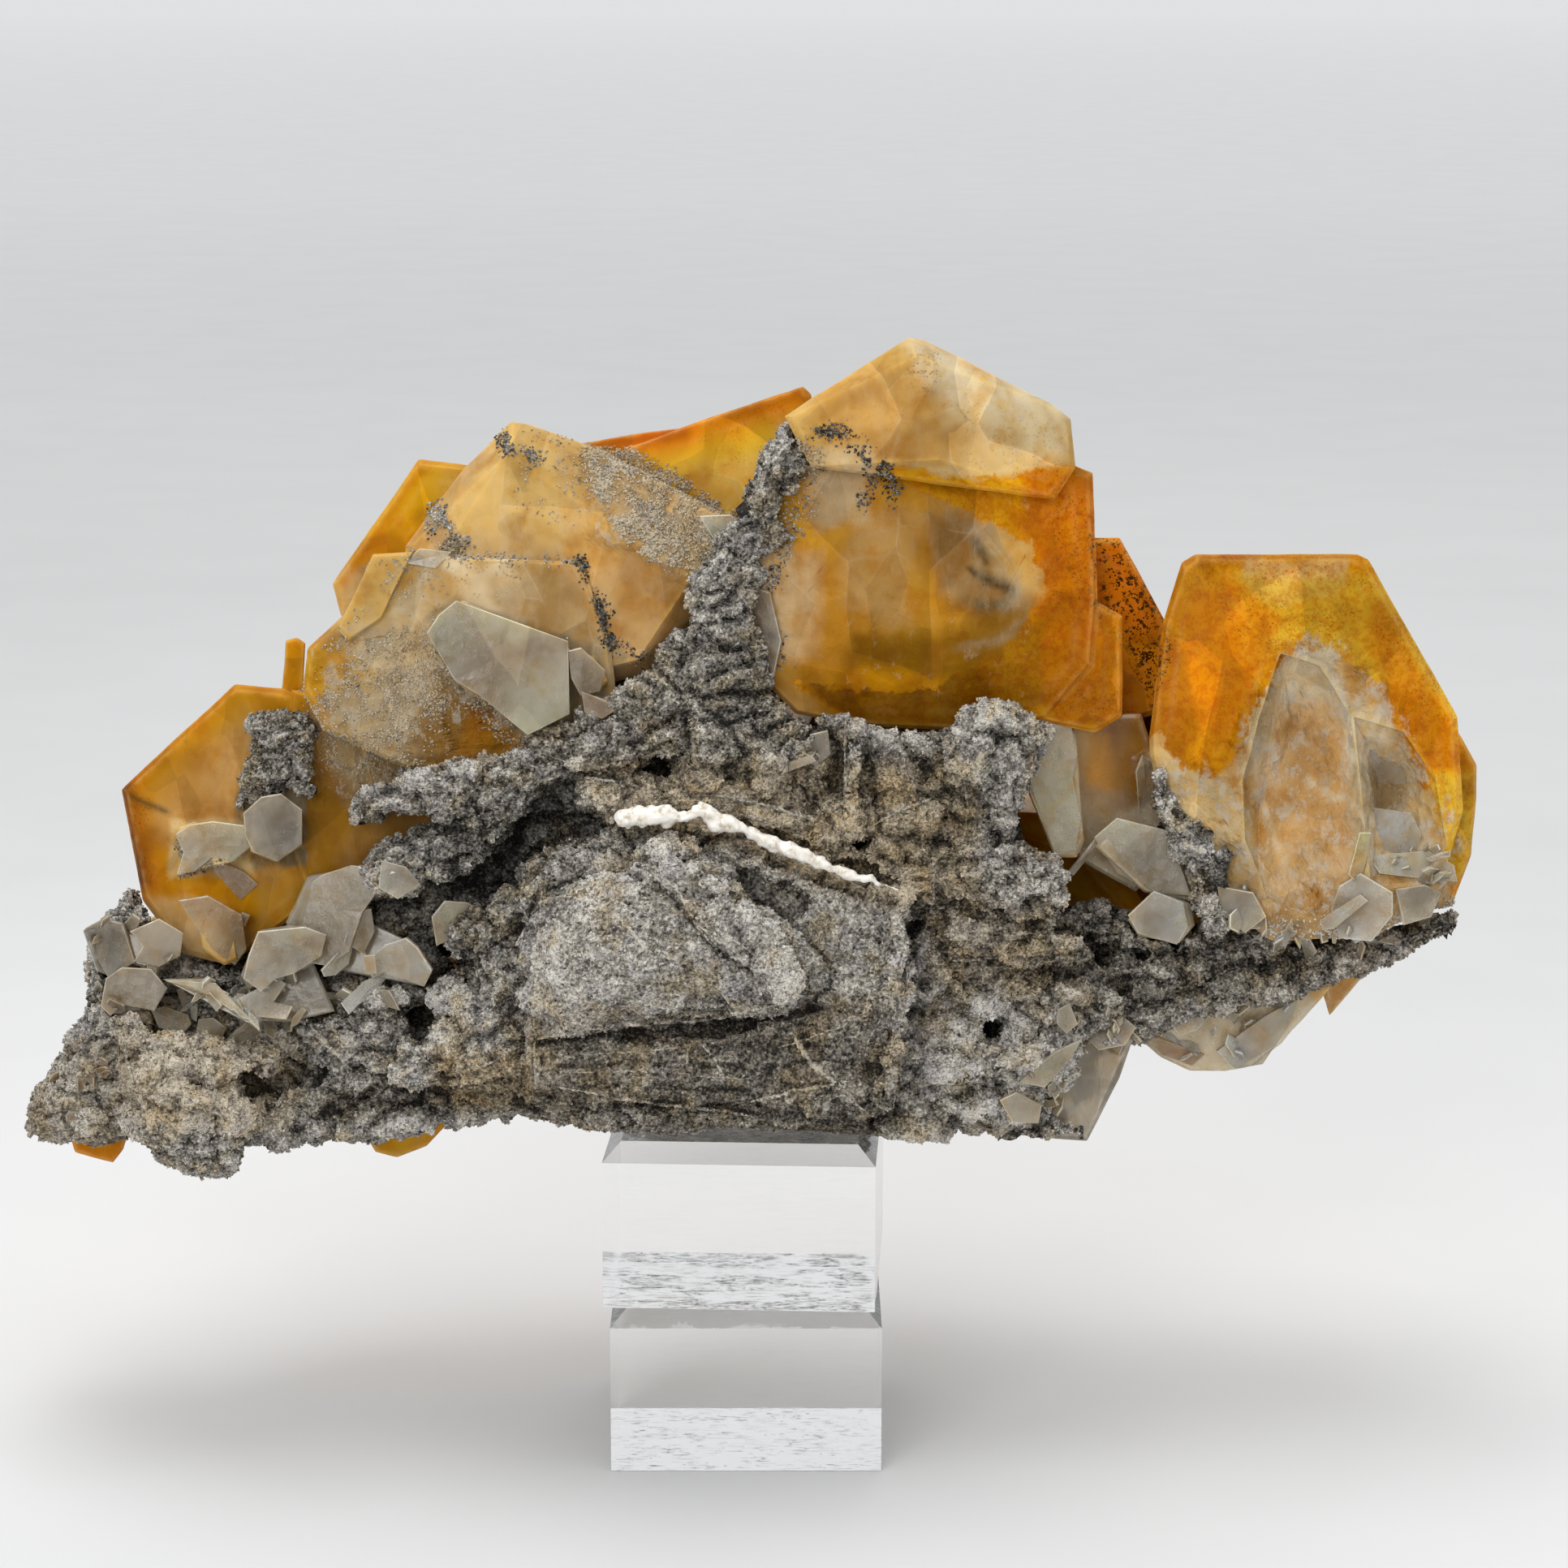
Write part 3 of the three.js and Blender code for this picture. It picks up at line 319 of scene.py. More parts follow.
def toEdges(points, starts, ends, chunk=4000):
    # Distance from each point to the nearest of the edges.
    run = ends - starts
    length = np.maximum(np.sum(run * run, 1), 1e-9)
    result = np.empty(len(points))
    for low in range(0, len(points), chunk):
        gap = points[low : low + chunk, None] - starts
        share = np.clip(np.sum(gap * run, 2) / length, 0, 1)
        result[low : low + chunk] = np.linalg.norm(gap - share[..., None] * run, axis=2).min(1)
    return result


def divided(points, faces, shortest, longest, limit):
    # Splits every edge that is longer than its limit at its middle, until none is. The limit is
    # asked only for edges between the shortest and the longest one.
    for _ in range(9):
        edges, _, numbers = edgesOf(faces)
        middle = points[edges].mean(1)
        length = np.linalg.norm(points[edges[:, 0]] - points[edges[:, 1]], axis=1)
        split = length > longest
        asked = (length > shortest) & ~split
        split[asked] = length[asked] > limit(middle[asked])
        if not split.any():
            break
        place = np.full(len(edges), -1)
        place[split] = len(points) + np.arange(split.sum())
        points = np.concatenate([points, middle[split]])
        mids = place[numbers]
        many = (mids >= 0).sum(1)
        parts = [faces[many == 0]]
        f, m = faces[many == 3], mids[many == 3]
        a, b, c = f.T
        p, q, r = m.T
        for trio in ((a, p, r), (p, b, q), (r, q, c), (p, q, r)):
            parts.append(np.stack(trio, -1))
        # one split edge is turned to the first place, two split edges to the first and second
        for amount in (1, 2):
            f, m = faces[many == amount], mids[many == amount]
            flags = m >= 0
            if amount == 1:
                shift = flags.argmax(1)
            else:
                shift = ((~flags).argmax(1) + 1) % 3
            pick = (shift[:, None] + np.arange(3)) % 3
            a, b, c = np.take_along_axis(f, pick, 1).T
            p, q, _ = np.take_along_axis(m, pick, 1).T
            trios = ((a, p, c), (p, b, c)) if amount == 1 else ((p, b, q), (a, p, q), (a, q, c))
            for trio in trios:
                parts.append(np.stack(trio, -1))
        faces = np.concatenate(parts)
    return points, faces


def relaxed(points, faces, weight, times):
    # Each corner moves towards the mean of its neighbours by its weight, as often as asked.
    edges, _, _ = edgesOf(faces)
    amount = np.bincount(edges.ravel(), minlength=len(points))[:, None]
    weight = np.broadcast_to(weight, len(points))[:, None]
    near, far = edges.T.ravel(), edges[:, ::-1].T.ravel()
    for _ in range(times):
        total = summed(near, points[far], len(points))
        points = points + weight * (total / np.maximum(amount, 1) - points)
    return points


def remeshed(points, faces, size):
    # An even net of squares round the same shape, by Blender's voxel remesh.
    rough = writeMesh("remeshSource", points, faces)
    modifier = rough.modifiers.new("net", "REMESH")
    modifier.mode = "VOXEL"
    modifier.voxel_size = size * mm
    done = rough.evaluated_get(bpy.context.evaluated_depsgraph_get()).to_mesh()
    net = readAll(done.vertices, "co", 3, np.float32).astype(float) / mm
    loops, starts = readAll(done.loops, "vertex_index"), readAll(done.polygons, "loop_start")
    assert (np.diff(np.append(starts, len(loops))) == 4).all()
    quads = loops[starts[:, None] + np.arange(4)]
    rough.evaluated_get(bpy.context.evaluated_depsgraph_get()).to_mesh_clear()
    bpy.data.objects.remove(rough)
    return net, quads


def placed(piece, material, slot, *replaced):
    piece.data.materials.append(material)
    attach(piece, body)
    if replaced:
        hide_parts(*replaced)


# Shading
def feed(tree, sockets, values):
    # Each socket gets its value, or a link from the other node's socket that the value is.
    for socket, value in zip(sockets, values):
        if isinstance(value, bpy.types.NodeSocket):
            tree.links.new(value, socket)
        else:
            socket.default_value = value


def setInput(tree, node, **inputs):
    # Feeds inputs by name, spaces left out.
    for socket in node.inputs:
        name = socket.name.replace(" ", "")
        if name in inputs and socket.enabled:
            feed(tree, [socket], [inputs.pop(name)])
    if inputs:
        raise ValueError(f"{node.name} has no input {sorted(inputs)}")


def addNode(tree, kind, settings=None, **inputs):
    # A node with its settings and its inputs.
    made = tree.nodes.new("ShaderNode" + kind)
    for key, value in (settings or {}).items():
        setattr(made, key, value)
    setInput(tree, made, **inputs)
    return made


def shaderOf(name):
    material = bpy.data.materials.new(name)
    material.use_nodes = True
    tree = material.node_tree
    return material, tree, tree.nodes["Principled BSDF"]


def colour(red, green, blue):
    # Screen colour, 0 to 255, to the renderer's linear colour.
    s = np.array([red, green, blue]) / 255
    return (*np.where(s <= 0.04045, s / 12.92, ((s + 0.055) / 1.055) ** 2.4), 1.0)


def mathOf(tree, operation, *values, clamp=False):
    made = addNode(tree, "Math", {"operation": operation, "use_clamp": clamp})
    feed(tree, made.inputs, values)
    return made.outputs[0]


def timesOf(tree, first, *others, clamp=False):
    for other in others:
        first = mathOf(tree, "MULTIPLY", first, other, clamp=clamp)
    return first


def vectorOf(tree, operation, *values):
    made = addNode(tree, "VectorMath", {"operation": operation})
    feed(tree, made.inputs, values)
    return made.outputs[0]


def blended(tree, factor, first, second, mode="MIX"):
    made = addNode(tree, "Mix", {"data_type": "RGBA", "blend_type": mode})
    feed(tree, (made.inputs[0], *made.inputs[6:8]), (factor, first, second))
    return made.outputs[2]


def tinted(tree, where, shade, tint, amount=1.0):
    # The shade multiplied by the tint, by that amount, where the factor says.
    return blended(tree, where, shade, blended(tree, amount, shade, tint, "MULTIPLY"))


def rampOf(tree, factor, stops):
    made = addNode(tree, "ValToRGB")
    tree.links.new(factor, made.inputs[0])
    ends = made.color_ramp.elements
    while len(ends) < len(stops):
        ends.new(0.5)
    for end, (place, shade) in zip(ends, stops):
        end.position = place
        end.color = shade if isinstance(shade, tuple) else (shade, shade, shade, 1)
    return made.outputs[0]


def attributeOf(tree, name):
    return addNode(tree, "Attribute", {"attribute_name": name}).outputs["Fac"]


def noiseOf(tree, size, detail=3, roughness=0.55, distortion=0.0, stretch=None):
    # Blender's noise with features of about that many millimetres.
    place = addNode(tree, "TexCoord").outputs["Object"]
    if stretch:
        place = addNode(tree, "Mapping", Vector=place, Scale=stretch).outputs[0]
    look = {"Detail": detail, "Roughness": roughness, "Distortion": distortion}
    return addNode(tree, "TexNoise", Vector=place, Scale=1 / (size * mm), **look).outputs[0]


def cellsOf(tree, size):
    place = addNode(tree, "TexCoord").outputs["Object"]
    return addNode(tree, "TexVoronoi", Vector=place, Scale=1 / (size * mm)).outputs["Distance"]


def spaceOf(tree, size, stretch, bend):
    # Object coordinates in units of the size, bent a little by broad noise.
    place = addNode(tree, "TexCoord").outputs["Object"]
    scaled = vectorOf(tree, "MULTIPLY", place, [part / (size * mm) for part in stretch])
    wave = addNode(tree, "TexNoise", Vector=scaled, Scale=1.6).outputs["Color"]
    return vectorOf(tree, "MULTIPLY_ADD", wave, (bend, bend, bend), scaled)


def bumpOf(tree, height, distance, strength=1.0, under=None):
    below = {"Normal": under} if under else {}
    made = addNode(
        tree, "Bump", Height=height, Distance=distance * mm, Strength=strength, **below
    )
    return made.outputs[0]


# Studio
studio = {
    "floorTones": ((0.0, 229), (0.02, 226), (0.044, 214), (0.086, 213), (0.14, 227), (0.3, 240), (1.0, 254)),
    "toneReach": 12000.0,
    "floorReach": 30000.0,
    "floorDrop": 0.1,  # the floor lies this much under the stand, as a sheet of air does in life
    "worldColour": colour(250, 251, 252),
    "worldStrength": 0.8,
    "rings": 22,
    "steps": 48,
    # name, place, size and power; all shine on the middle of the cluster
    "lamps": (
        ("topLight", (-80, -60, 1250), (800, 700), 5.5),
        ("frontLight", (-420, -1150, 640), (700, 500), 5.0),
        ("rearLight", (300, 1100, 900), (700, 500), 1.6),
    ),
    "lampsAim": (0, 0, 110),
}


def studioFloor():
    # Rings whose radius grows by a constant factor, carried round in even steps.
    radius = np.concatenate([[1.0], np.geomspace(60, studio["floorReach"], studio["rings"])])
    steps = studio["steps"]
    around = np.linspace(0, 2 * math.pi, steps, endpoint=False)
    x, y = radius[:, None] * np.cos(around), radius[:, None] * np.sin(around)
    points = np.stack([x, y, np.full_like(x, -studio["floorDrop"])], -1).reshape(-1, 3)
    ring, step = np.meshgrid(np.arange(len(radius) - 1), np.arange(steps), indexing="ij")
    first, after = ring * steps + step, ring * steps + (step + 1) % steps
    faces = np.stack([first, first + steps, after + steps, after], -1).reshape(-1, 4)
    made = writeMesh("studioFloor", points, faces, smooth=True)
    material, tree, shader = shaderOf("studioPaper")
    # darker near the stand, where the lamps shine, so that the whole sweep looks one even grey
    place = addNode(tree, "TexCoord").outputs["Object"]
    away = addNode(tree, "VectorMath", {"operation": "LENGTH"}, Vector=place).outputs["Value"]
    share = mathOf(tree, "DIVIDE", away, studio["toneReach"] * mm, clamp=True)
    shade = rampOf(tree, share, [(at, colour(tone, tone, tone)) for at, tone in studio["floorTones"]])
    cloud = rampOf(tree, noiseOf(tree, 60, 2), [(0.3, 0.975), (0.7, 1.0)])
    shade = blended(tree, 1.0, shade, cloud, "MULTIPLY")
    setInput(tree, shader, BaseColor=shade, Roughness=0.8, SpecularIORLevel=0.1)
    made.data.materials.append(material)


def areaLight(name, place, size, power):
    data = bpy.data.lights.new(name, "AREA")
    data.shape = "RECTANGLE"
    data.size, data.size_y = size[0] * mm, size[1] * mm
    data.energy = power
    made = bpy.data.objects.new(name, data)
    bpy.context.scene.collection.objects.link(made)
    made.location = Vector(place) * mm
    made.visible_transmission = False
    aim = Vector(studio["lampsAim"]) * mm
    made.rotation_euler = (aim - made.location).to_track_quat("-Z", "Y").to_euler()


def cameraAndLights():
    data = bpy.data.cameras.new("camera")
    data.sensor_width = 36.0
    data.lens = data.sensor_width * view["distance"] / (view["picture"] * view["point"])
    data.clip_start, data.clip_end = 0.05, 20
    made = bpy.data.objects.new("camera", data)
    bpy.context.scene.collection.objects.link(made)
    made.location = Vector(eye) * mm
    made.rotation_euler = (math.pi / 2 - pitch, 0, 0)
    bpy.context.scene.camera = made
    world = bpy.data.worlds.new("studioAir")
    world.use_nodes = True
    world.node_tree.nodes["Background"].inputs[0].default_value = studio["worldColour"]
    world.node_tree.nodes["Background"].inputs[1].default_value = studio["worldStrength"]
    bpy.context.scene.world = world
    for name, place, size, power in studio["lamps"]:
        areaLight(name, place, size, power)
    bpy.context.scene.view_settings.view_transform = "Standard"


studioFloor()
cameraAndLights()
report("studio made")


# Acrylic blocks
acrylic = {"tint": (0.985, 0.99, 0.992, 1.0), "roughness": 0.01, "bend": 1.49}


def acrylicMaterial():
    # Clear polished plastic with short flat scratches on its worked faces.
    material, tree, shader = shaderOf("clearAcrylic")
    scratches = noiseOf(tree, 1.0, 5, 0.7, 0.4, stretch=(0.25, 0.9, 2.2))
    fine = rampOf(tree, scratches, [(0.5, 0.0), (0.58, 1.0)])
    patches = rampOf(tree, noiseOf(tree, 9, 3), [(0.38, 0.0), (0.5, 1.0)])
    facing = addNode(tree, "NewGeometry").outputs["Normal"]
    upright = addNode(tree, "SeparateXYZ", Vector=facing)
    flat = mathOf(tree, "ABSOLUTE", upright.outputs["Z"])
    worked = rampOf(tree, flat, [(0.8, 0.08), (0.95, 1.0)])
    marks = timesOf(tree, fine, patches, worked)
    rough = mathOf(tree, "MULTIPLY_ADD", marks, 0.35, acrylic["roughness"])
    tint = blended(tree, timesOf(tree, marks, 0.55), acrylic["tint"], colour(178, 170, 156))
    setInput(
        tree,
        shader,
        BaseColor=tint,
        Roughness=rough,
        IOR=acrylic["bend"],
        TransmissionWeight=1.0,
        Normal=bumpOf(tree, marks, 0.02, 0.35),
    )
    return material


# A blunt six-cornered grain, as corners and outward triangles.
grainCorners = np.array(
    [(1, 0, 0.1), (-1, 0.1, 0), (0, 0.85, 0), (0.1, -0.85, 0), (0, 0, 0.75), (0, 0.1, -0.75)]
)
sixCornerFaces = np.array(
    [(0, 2, 4), (2, 1, 4), (1, 3, 4), (3, 0, 4), (2, 0, 5), (1, 2, 5), (3, 1, 5), (0, 3, 5)]
)
scratchLook = {"length": (0.4, 2.4), "width": (0.03, 0.16), "depth": 0.02, "above": 0.06, "margin": 1.5}


def blockScratches(name, node, count, seed):
    # Short milky scratches just inside a block's bottom face, which lie along X and gather in patches.
    # Each is the blunt grain shape drawn out long and flat.
    random = np.random.default_rng(seed)
    (lowX, lowY, lowZ), (highX, highY, _) = (np.array(corner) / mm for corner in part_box(node))
    margin = scratchLook["margin"]
    places = np.stack(
        [
            random.uniform(lowX + 2 * margin, highX - 2 * margin, 3 * count),
            random.uniform(lowY + margin, highY - margin, 3 * count),
            np.full(3 * count, lowZ + scratchLook["above"]),
        ],
        -1,
    )
    places = places[octaves(places * [0.5, 1, 1], 7, seed) > -0.1][:count]
    half = np.stack(
        [
            random.uniform(*scratchLook["length"], len(places)) * random.uniform(0.3, 1, len(places)),
            random.uniform(*scratchLook["width"], len(places)),
            np.full(len(places), scratchLook["depth"]),
        ],
        -1,
    )
    made = writeMesh(name, *repeated(places[:, None] + grainCorners * half[:, None], sixCornerFaces))
    material, tree, shader = shaderOf("scratchedAcrylic")
    shade = rampOf(tree, noiseOf(tree, 5, 3), [(0.35, colour(176, 173, 166)), (0.65, colour(222, 221, 218))])
    setInput(tree, shader, BaseColor=shade, Roughness=0.6)
    placed(made, material, "clear_acrylic")


clearAcrylic = acrylicMaterial()
for blockName in ("lower_acrylic_block", "upper_acrylic_block"):
    block = cadNodes[blockName]
    block.data.materials.clear()
    block.data.materials.append(clearAcrylic)
    for slotted in block.material_slots:
        slotted.material = clearAcrylic
blockScratches("upperScratches", "upper_acrylic_block", 1300, 31)
blockScratches("lowerScratches", "lower_acrylic_block", 240, 32)
report("acrylic made")


# Rock matrix
rock = {
    "net": 0.98,  # side of the net's squares
    "swells": ((16, 0.7, 11), (7, 0.4, 12), (3.2, 0.32, 13)),
    # broken blocks: size, step between neighbours, depth of the crack round each, squash along Z
    "blocks": ((11.0, 1.9, 1.5, 1.8, 17), (5.0, 1.2, 0.9, 1.8, 18)),
    "wander": (1.6, 6, 51),  # how far the blocks' borders wander, over what size, seed
    "crack": (0.16, 0.02),  # where a crack starts and is full, in block sizes from the border
    "tone": 0.55,  # the rock's middle place on its ramp of tones
    "grain": (2.0, 0.32, 3),  # size, height and seed of the low round grains
    "pit": (5.5, 2.4, 4),  # size, depth and seed
    "pitWander": (1.2, 5, 40),
    "pitPatches": (19, 44, 0.45),  # size and seed of the noise that lets pits in, and where it is full
    "restHeight": 62.6,
    "restHalf": 28.0,
    "calm": 0.35,  # share of the swells that is left on the box-like lump's flat faces
}
calmFace = "655 1090,1120 1100,1100 1220,1040 1350,655 1340"

# Pale ridges that stand on the rock's face: line, half width and height in millimetres, nearest and
# farthest Y.
rockRidges = (
    ("668 1098,662 1160,657 1230,660 1300,664 1335", 3, 0.5, -46, -24),
    ("657 1268,740 1262,817 1247,900 1243", 3, 0.4, -46, -24),
    ("777 1237,880 1233,973 1233,1017 1237", 3, 0.5, -46, -24),
    ("1117 1107,1120 1133,1100 1200,1060 1300,1033 1345", 3, 0.25, -46, -20),
    ("1143 1095,1145 1160,1120 1235", 3, 0.25, -46, -16),
    ("1170 1185,1250 1176,1320 1170", 4, 0.7, -40, -5),
    ("1165 1200,1240 1192,1330 1187", 4, 0.6, -40, -5),
    ("845 985,900 995,960 1015,1010 1035", 5, 0.7, -46, -14),
    ("800 955,870 975,950 985", 4, 0.6, -46, -10),
    ("1227 1290,1270 1290,1310 1297", 5, 0.8, -46, -8),
    ("160 1253,220 1262,290 1285,347 1298", 6, 0.8, -46, -10),
)

# Plates and steps with a crisp edge: outline, edge, height, nearest and farthest Y.
rockPlates = (
    (
        "668 1108,740 1084,800 1068,880 1080,985 1150,1020 1195,1015 1228,955 1240,"
        "820 1246,700 1266,664 1278",
        5, 1.1, -46, -24,
    ),
    (
        "797 1040,832 1028,860 1032,866 1062,900 1072,905 1098,898 1118,940 1128,962 1160,"
        "966 1196,930 1188,880 1160,850 1118,806 1072",
        4, 0.9, -46, -20,
    ),
    ("752 1104,782 1098,800 1128,800 1168,772 1146", 4, 0.7, -46, -24),
    ("888 1212,935 1186,980 1208,962 1238,905 1244", 4, 0.8, -46, -24),
    ("722 958,790 978,812 992,800 1004,760 1006,728 996,716 984", 4, 1.5, -46, -8),
    ("722 1016,752 1010,750 1034,724 1048,712 1036", 4, 1.0, -46, -8),
    ("840 984,930 988,1010 1012,1040 1036,1000 1044,900 1010", 4, 0.9, -46, -8),
    ("1032 884,1062 888,1058 960,1054 1030,1032 1030,1036 950", 4, 1.0, -46, 4),
    ("1062 900,1100 896,1130 960,1110 1020,1064 1024", 6, 0.8, -46, 4),
    ("1172 860,1250 868,1276 905,1262 950,1240 985,1190 960,1180 900", 6, 1.0, -46, 8),
    ("1146 1080,1186 1072,1250 1076,1300 1090,1308 1120,1270 1140,1200 1124", 5, 1.0, -46, 4),
    ("1180 1128,1250 1136,1290 1160,1240 1176,1172 1172", 5, 0.9, -46, 4),
    ("160 1256,240 1280,300 1296,346 1300,330 1350,300 1392,210 1366,158 1330", 4, 1.2, -46, -6),
    ("170 1352,230 1376,296 1396,286 1430,240 1420,180 1392", 5, 0.8, -46, -6),
    ("664 1290,830 1262,940 1254,1030 1320,1000 1352,800 1360,664 1340", 6, 0.5, -46, -20),
    ("640 1040,700 1060,668 1100,600 1160,590 1140,620 1090", 5, 0.8, -46, -10),
    ("660 880,740 830,800 850,790 905,730 930,660 925", 5, 0.8, -46, 4),
    ("455 955,520 940,620 950,600 985,500 1000,440 985", 5, 0.9, -46, 4),
)

# Slits and holes cut into the rock, also painted darker there as painted shade: line, half width, depth,
# nearest and farthest Y.
rockSlits = (
    ("764 1026,830 1030,890 1036,950 1062,1010 1086,1100 1112", 6, 1.5, -46, -14),
    ("650 1130,664 1100,740 1074,806 1056", 5, 1.5, -46, -14),
    ("806 1080,846 1124,878 1168,930 1196", 3, 0.9, -46, -20),
    ("664 1284,760 1272,860 1256,960 1250,1010 1244", 4, 1.2, -46, -20),
    ("1000 1240,1030 1200,985 1146,905 1090", 4, 1.1, -46, -20),
    ("1128 1110,1126 1170,1108 1240,1080 1310", 4, 1.3, -46, -14),
    ("690 1312,800 1310,930 1318,1010 1306", 3, 0.8, -46, -20),
    ("700 1336,820 1340,960 1346", 3, 0.8, -46, -20),
    ("730 1010,752 1000,800 1020", 4, 1.2, -46, -10),
    ("1060 960,1064 1020,1090 1060", 4, 1.2, -46, 0),
    ("1140 890,1160 930,1172 990", 4, 1.2, -46, 6),
    ("1180 1010,1240 1030,1290 1050", 4, 1.2, -46, 4),
    ("500 940,580 930,650 950", 4, 1.2, -46, 4),
    ("470 1010,540 1020,600 1000", 4, 1.4, -46, 4),
    ("360 1240,440 1250,520 1240", 4, 1.2, -46, 0),
    ("350 1300,420 1352,520 1360", 4, 1.2, -46, 0),
    ("820 935,822 955", 13, 3.0, -46, 0),
    ("1040 1040,1055 1042", 10, 2.5, -46, 0),
    ("1110 1030,1163 1037", 7, 2.5, -46, 0),
    ("1170 1117,1233 1127", 7, 2.5, -46, 0),
    ("1207 1268,1233 1272", 10, 2.8, -46, 0),
    ("1118 1250,1124 1252", 9, 2.5, -46, 0),
    ("1107 913,1150 955,1193 993", 4, 1.6, -46, 6),
    ("1273 1180,1360 1182,1460 1173", 7, 2.0, -40, 4),
    ("400 1318,440 1318", 8, 2.4, -46, 0),
    ("333 1338,350 1350", 10, 2.4, -46, 0),
    ("1160 1370,1233 1340", 16, 2.5, -46, 0),
    ("830 1100,885 1105,930 1180", 4, 1.2, -46, -26),
)


def overBlock(points):
    return (np.abs(points[:, :2]) < rock["restHalf"]).all(1)


def rockSurface(node, net):
    # The CAD rock as an even net, softened, then moved along its normals by swells, broken blocks,
    # grains, pits where a mask lets them in, and the plates, ridges and slits drawn above. Relief is
    # how far a point stands out from its surroundings, hollow how far these lie back.
    points, faces = remeshed(*joinedTriangles(node), net)
    points = relaxed(points, faces, 0.5, 1)
    normals = cornerNormals(points, faces)
    # the front is drawn on as it is seen; hidden and sideways faces stay out of it
    spots = onPicture(points)
    facing = stepUp(-(normals @ forward), 0.0, 0.35)
    calm = patch(spots, calmFace, 20) * facing * (points[:, 1] < -20)
    lively = 1 - (1 - rock["calm"]) * calm
    height = np.full(len(points), 0.3)
    for size, amount, seed in rock["swells"]:
        height += amount * swell(points, size, seed) * np.where(size > 3, lively, 1)
    reach, size, seed = rock["wander"]
    bent = points + reach * np.stack([swell(points, size, seed + k) for k in range(3)], -1)
    for size, step, crack, squash, seed in rock["blocks"]:
        near, second, label = cells(bent * [1, 1, squash], size, seed)
        height += lively * (step * (label - 0.5) - crack * stepUp(second - near, *rock["crack"]))
    size, tall, seed = rock["grain"]
    height += tall * (0.55 - cells(points, size, seed)[0])
    reach, size, seed = rock["pitWander"]
    bent = points + reach * octaves(points, size, seed)[:, None]
    size, seed, full = rock["pitPatches"]
    let = stepUp(octaves(points, size, seed), 0.0, full) * (1 - 0.8 * calm)
    size, depth, seed = rock["pit"]
    pits = stepUp(cells(bent, size, seed)[0], 0.45, 0.1) * let
    height -= depth * pits
    marks = np.zeros(len(points))
    for outline, edge, amount, nearest, farthest in rockPlates:
        reached = facing * between(points, nearest, farthest)
        height += amount * patch(spots, outline, edge) * reached
    for lines, sign in ((rockRidges, 1), (rockSlits, -1)):
        for line, width, amount, nearest, farthest in lines:
            bell = stroke(spots, line, width) * (facing * between(points, nearest, farthest))
            height += sign * amount * bell
            marks = np.maximum(marks, bell) if sign > 0 else np.minimum(marks, -bell)
    # the flat rest on the block stays flat
    atRest = overBlock(points)
    free = np.where(atRest, stepUp(points[:, 2], rock["restHeight"] + 0.2, rock["restHeight"] + 3), 1.0)
    moved = points + normals * (height * free)[:, None]
    moved[:, 2] = np.where(atRest, np.maximum(moved[:, 2], rock["restHeight"] - 0.1), moved[:, 2])
    outward = cornerNormals(moved, faces)
    smoothed = relaxed(moved, faces, 0.6, 8)
    relief = np.sum((moved - smoothed) * outward, 1)
    hollow = np.sum((smoothed - relaxed(smoothed, faces, 0.7, 60)) * outward, 1)
    return moved, faces, relief, hollow, pits, marks, spots


rockPoints, rockFaces, rockRelief, rockHollow, rockPits, rockMarks, rockSpots = rockSurface(
    "matrix", rock["net"]
)
report(f"rock surface: {2 * len(rockFaces)} triangles")

# Where the rock's tint changes: outline, soft edge, then how beige, how pale and how brown it is.
# A paleness below 0 darkens; under the boulder that darkening is painted shade.
rockTints = (
    ("725 950,1190 950,1190 1100,1100 1110,900 1030,765 1010", 30, 0.75, 0.25, 0.0),
    ("150 1240,360 1290,350 1380,160 1370", 25, 0.55, 0.8, 0.0),
    ("655 1060,1110 1090,1120 1260,655 1260", 30, 0.0, 0.28, 0.0),
    # the lower band under the boulder: its darkening is painted shadow from the boulder's overhang, its beige
    # and brown its own tint
    ("655 1265,1100 1240,1090 1400,655 1390", 30, 0.25, -0.4, 0.25),
    ("540 1310,645 1310,645 1360,540 1350", 22, 0.9, 0.1, 0.0),
    ("1270 1130,1780 1100,1760 1180,1400 1270,1280 1270", 20, 0.15, -0.3, 0.0),
    ("1150 1080,1330 1150,1330 1210,1150 1200", 20, 0.5, 0.0, 0.1),
    ("1120 1220,1330 1220,1300 1400,1120 1400", 25, 0.0, 0.5, 0.0),
    ("560 1010,730 1010,700 1130,560 1200", 30, 0.0, -0.65, 0.0),
    ("440 990,660 960,680 1030,600 1120,460 1130", 24, 0.0, -0.1, 0.0),
    ("640 840,960 780,980 960,660 950", 25, 0.15, -0.25, 0.0),
    ("850 1090,930 1110,960 1190,880 1180", 16, 0.0, -0.25, 0.0),
    ("840 640,1010 520,1010 660,900 790", 20, 0.0, -0.25, 0.0),
    ("290 1380,760 1360,1100 1380,1300 1420,1300 1395,700 1345,340 1350", 14, 0.1, -0.35, 0.5),
    ("40 1290,160 1290,160 1420,40 1400", 20, 0.2, 0.0, 0.45),
    ("620 1060,700 1050,790 1080,700 1150,655 1200,560 1300,500 1280,600 1190", 26, 0, 0.4, 0),
    ("560 1290,800 1300,780 1370,600 1370", 26, 0, 0.3, 0),
    ("690 975,860 960,960 1010,860 1050,700 1040", 22, 0, 0.3, 0),
    # darkened across the boulder's lower edge and the recess under it, as painted shade
    ("860 1220,1000 1220,1000 1290,860 1290", 26, 0, -0.35, 0),
    ("870 800,1040 860,1060 900,900 900", 24, 0, -0.3, 0),
    ("60 1290,280 1290,280 1380,60 1400", 26, 0, 0.5, 0),
    ("1190 1290,1330 1280,1320 1380,1180 1380", 26, 0, 0.25, 0),
    ("660 1110,690 1110,690 1340,655 1340", 12, 0, 0.25, 0),
)


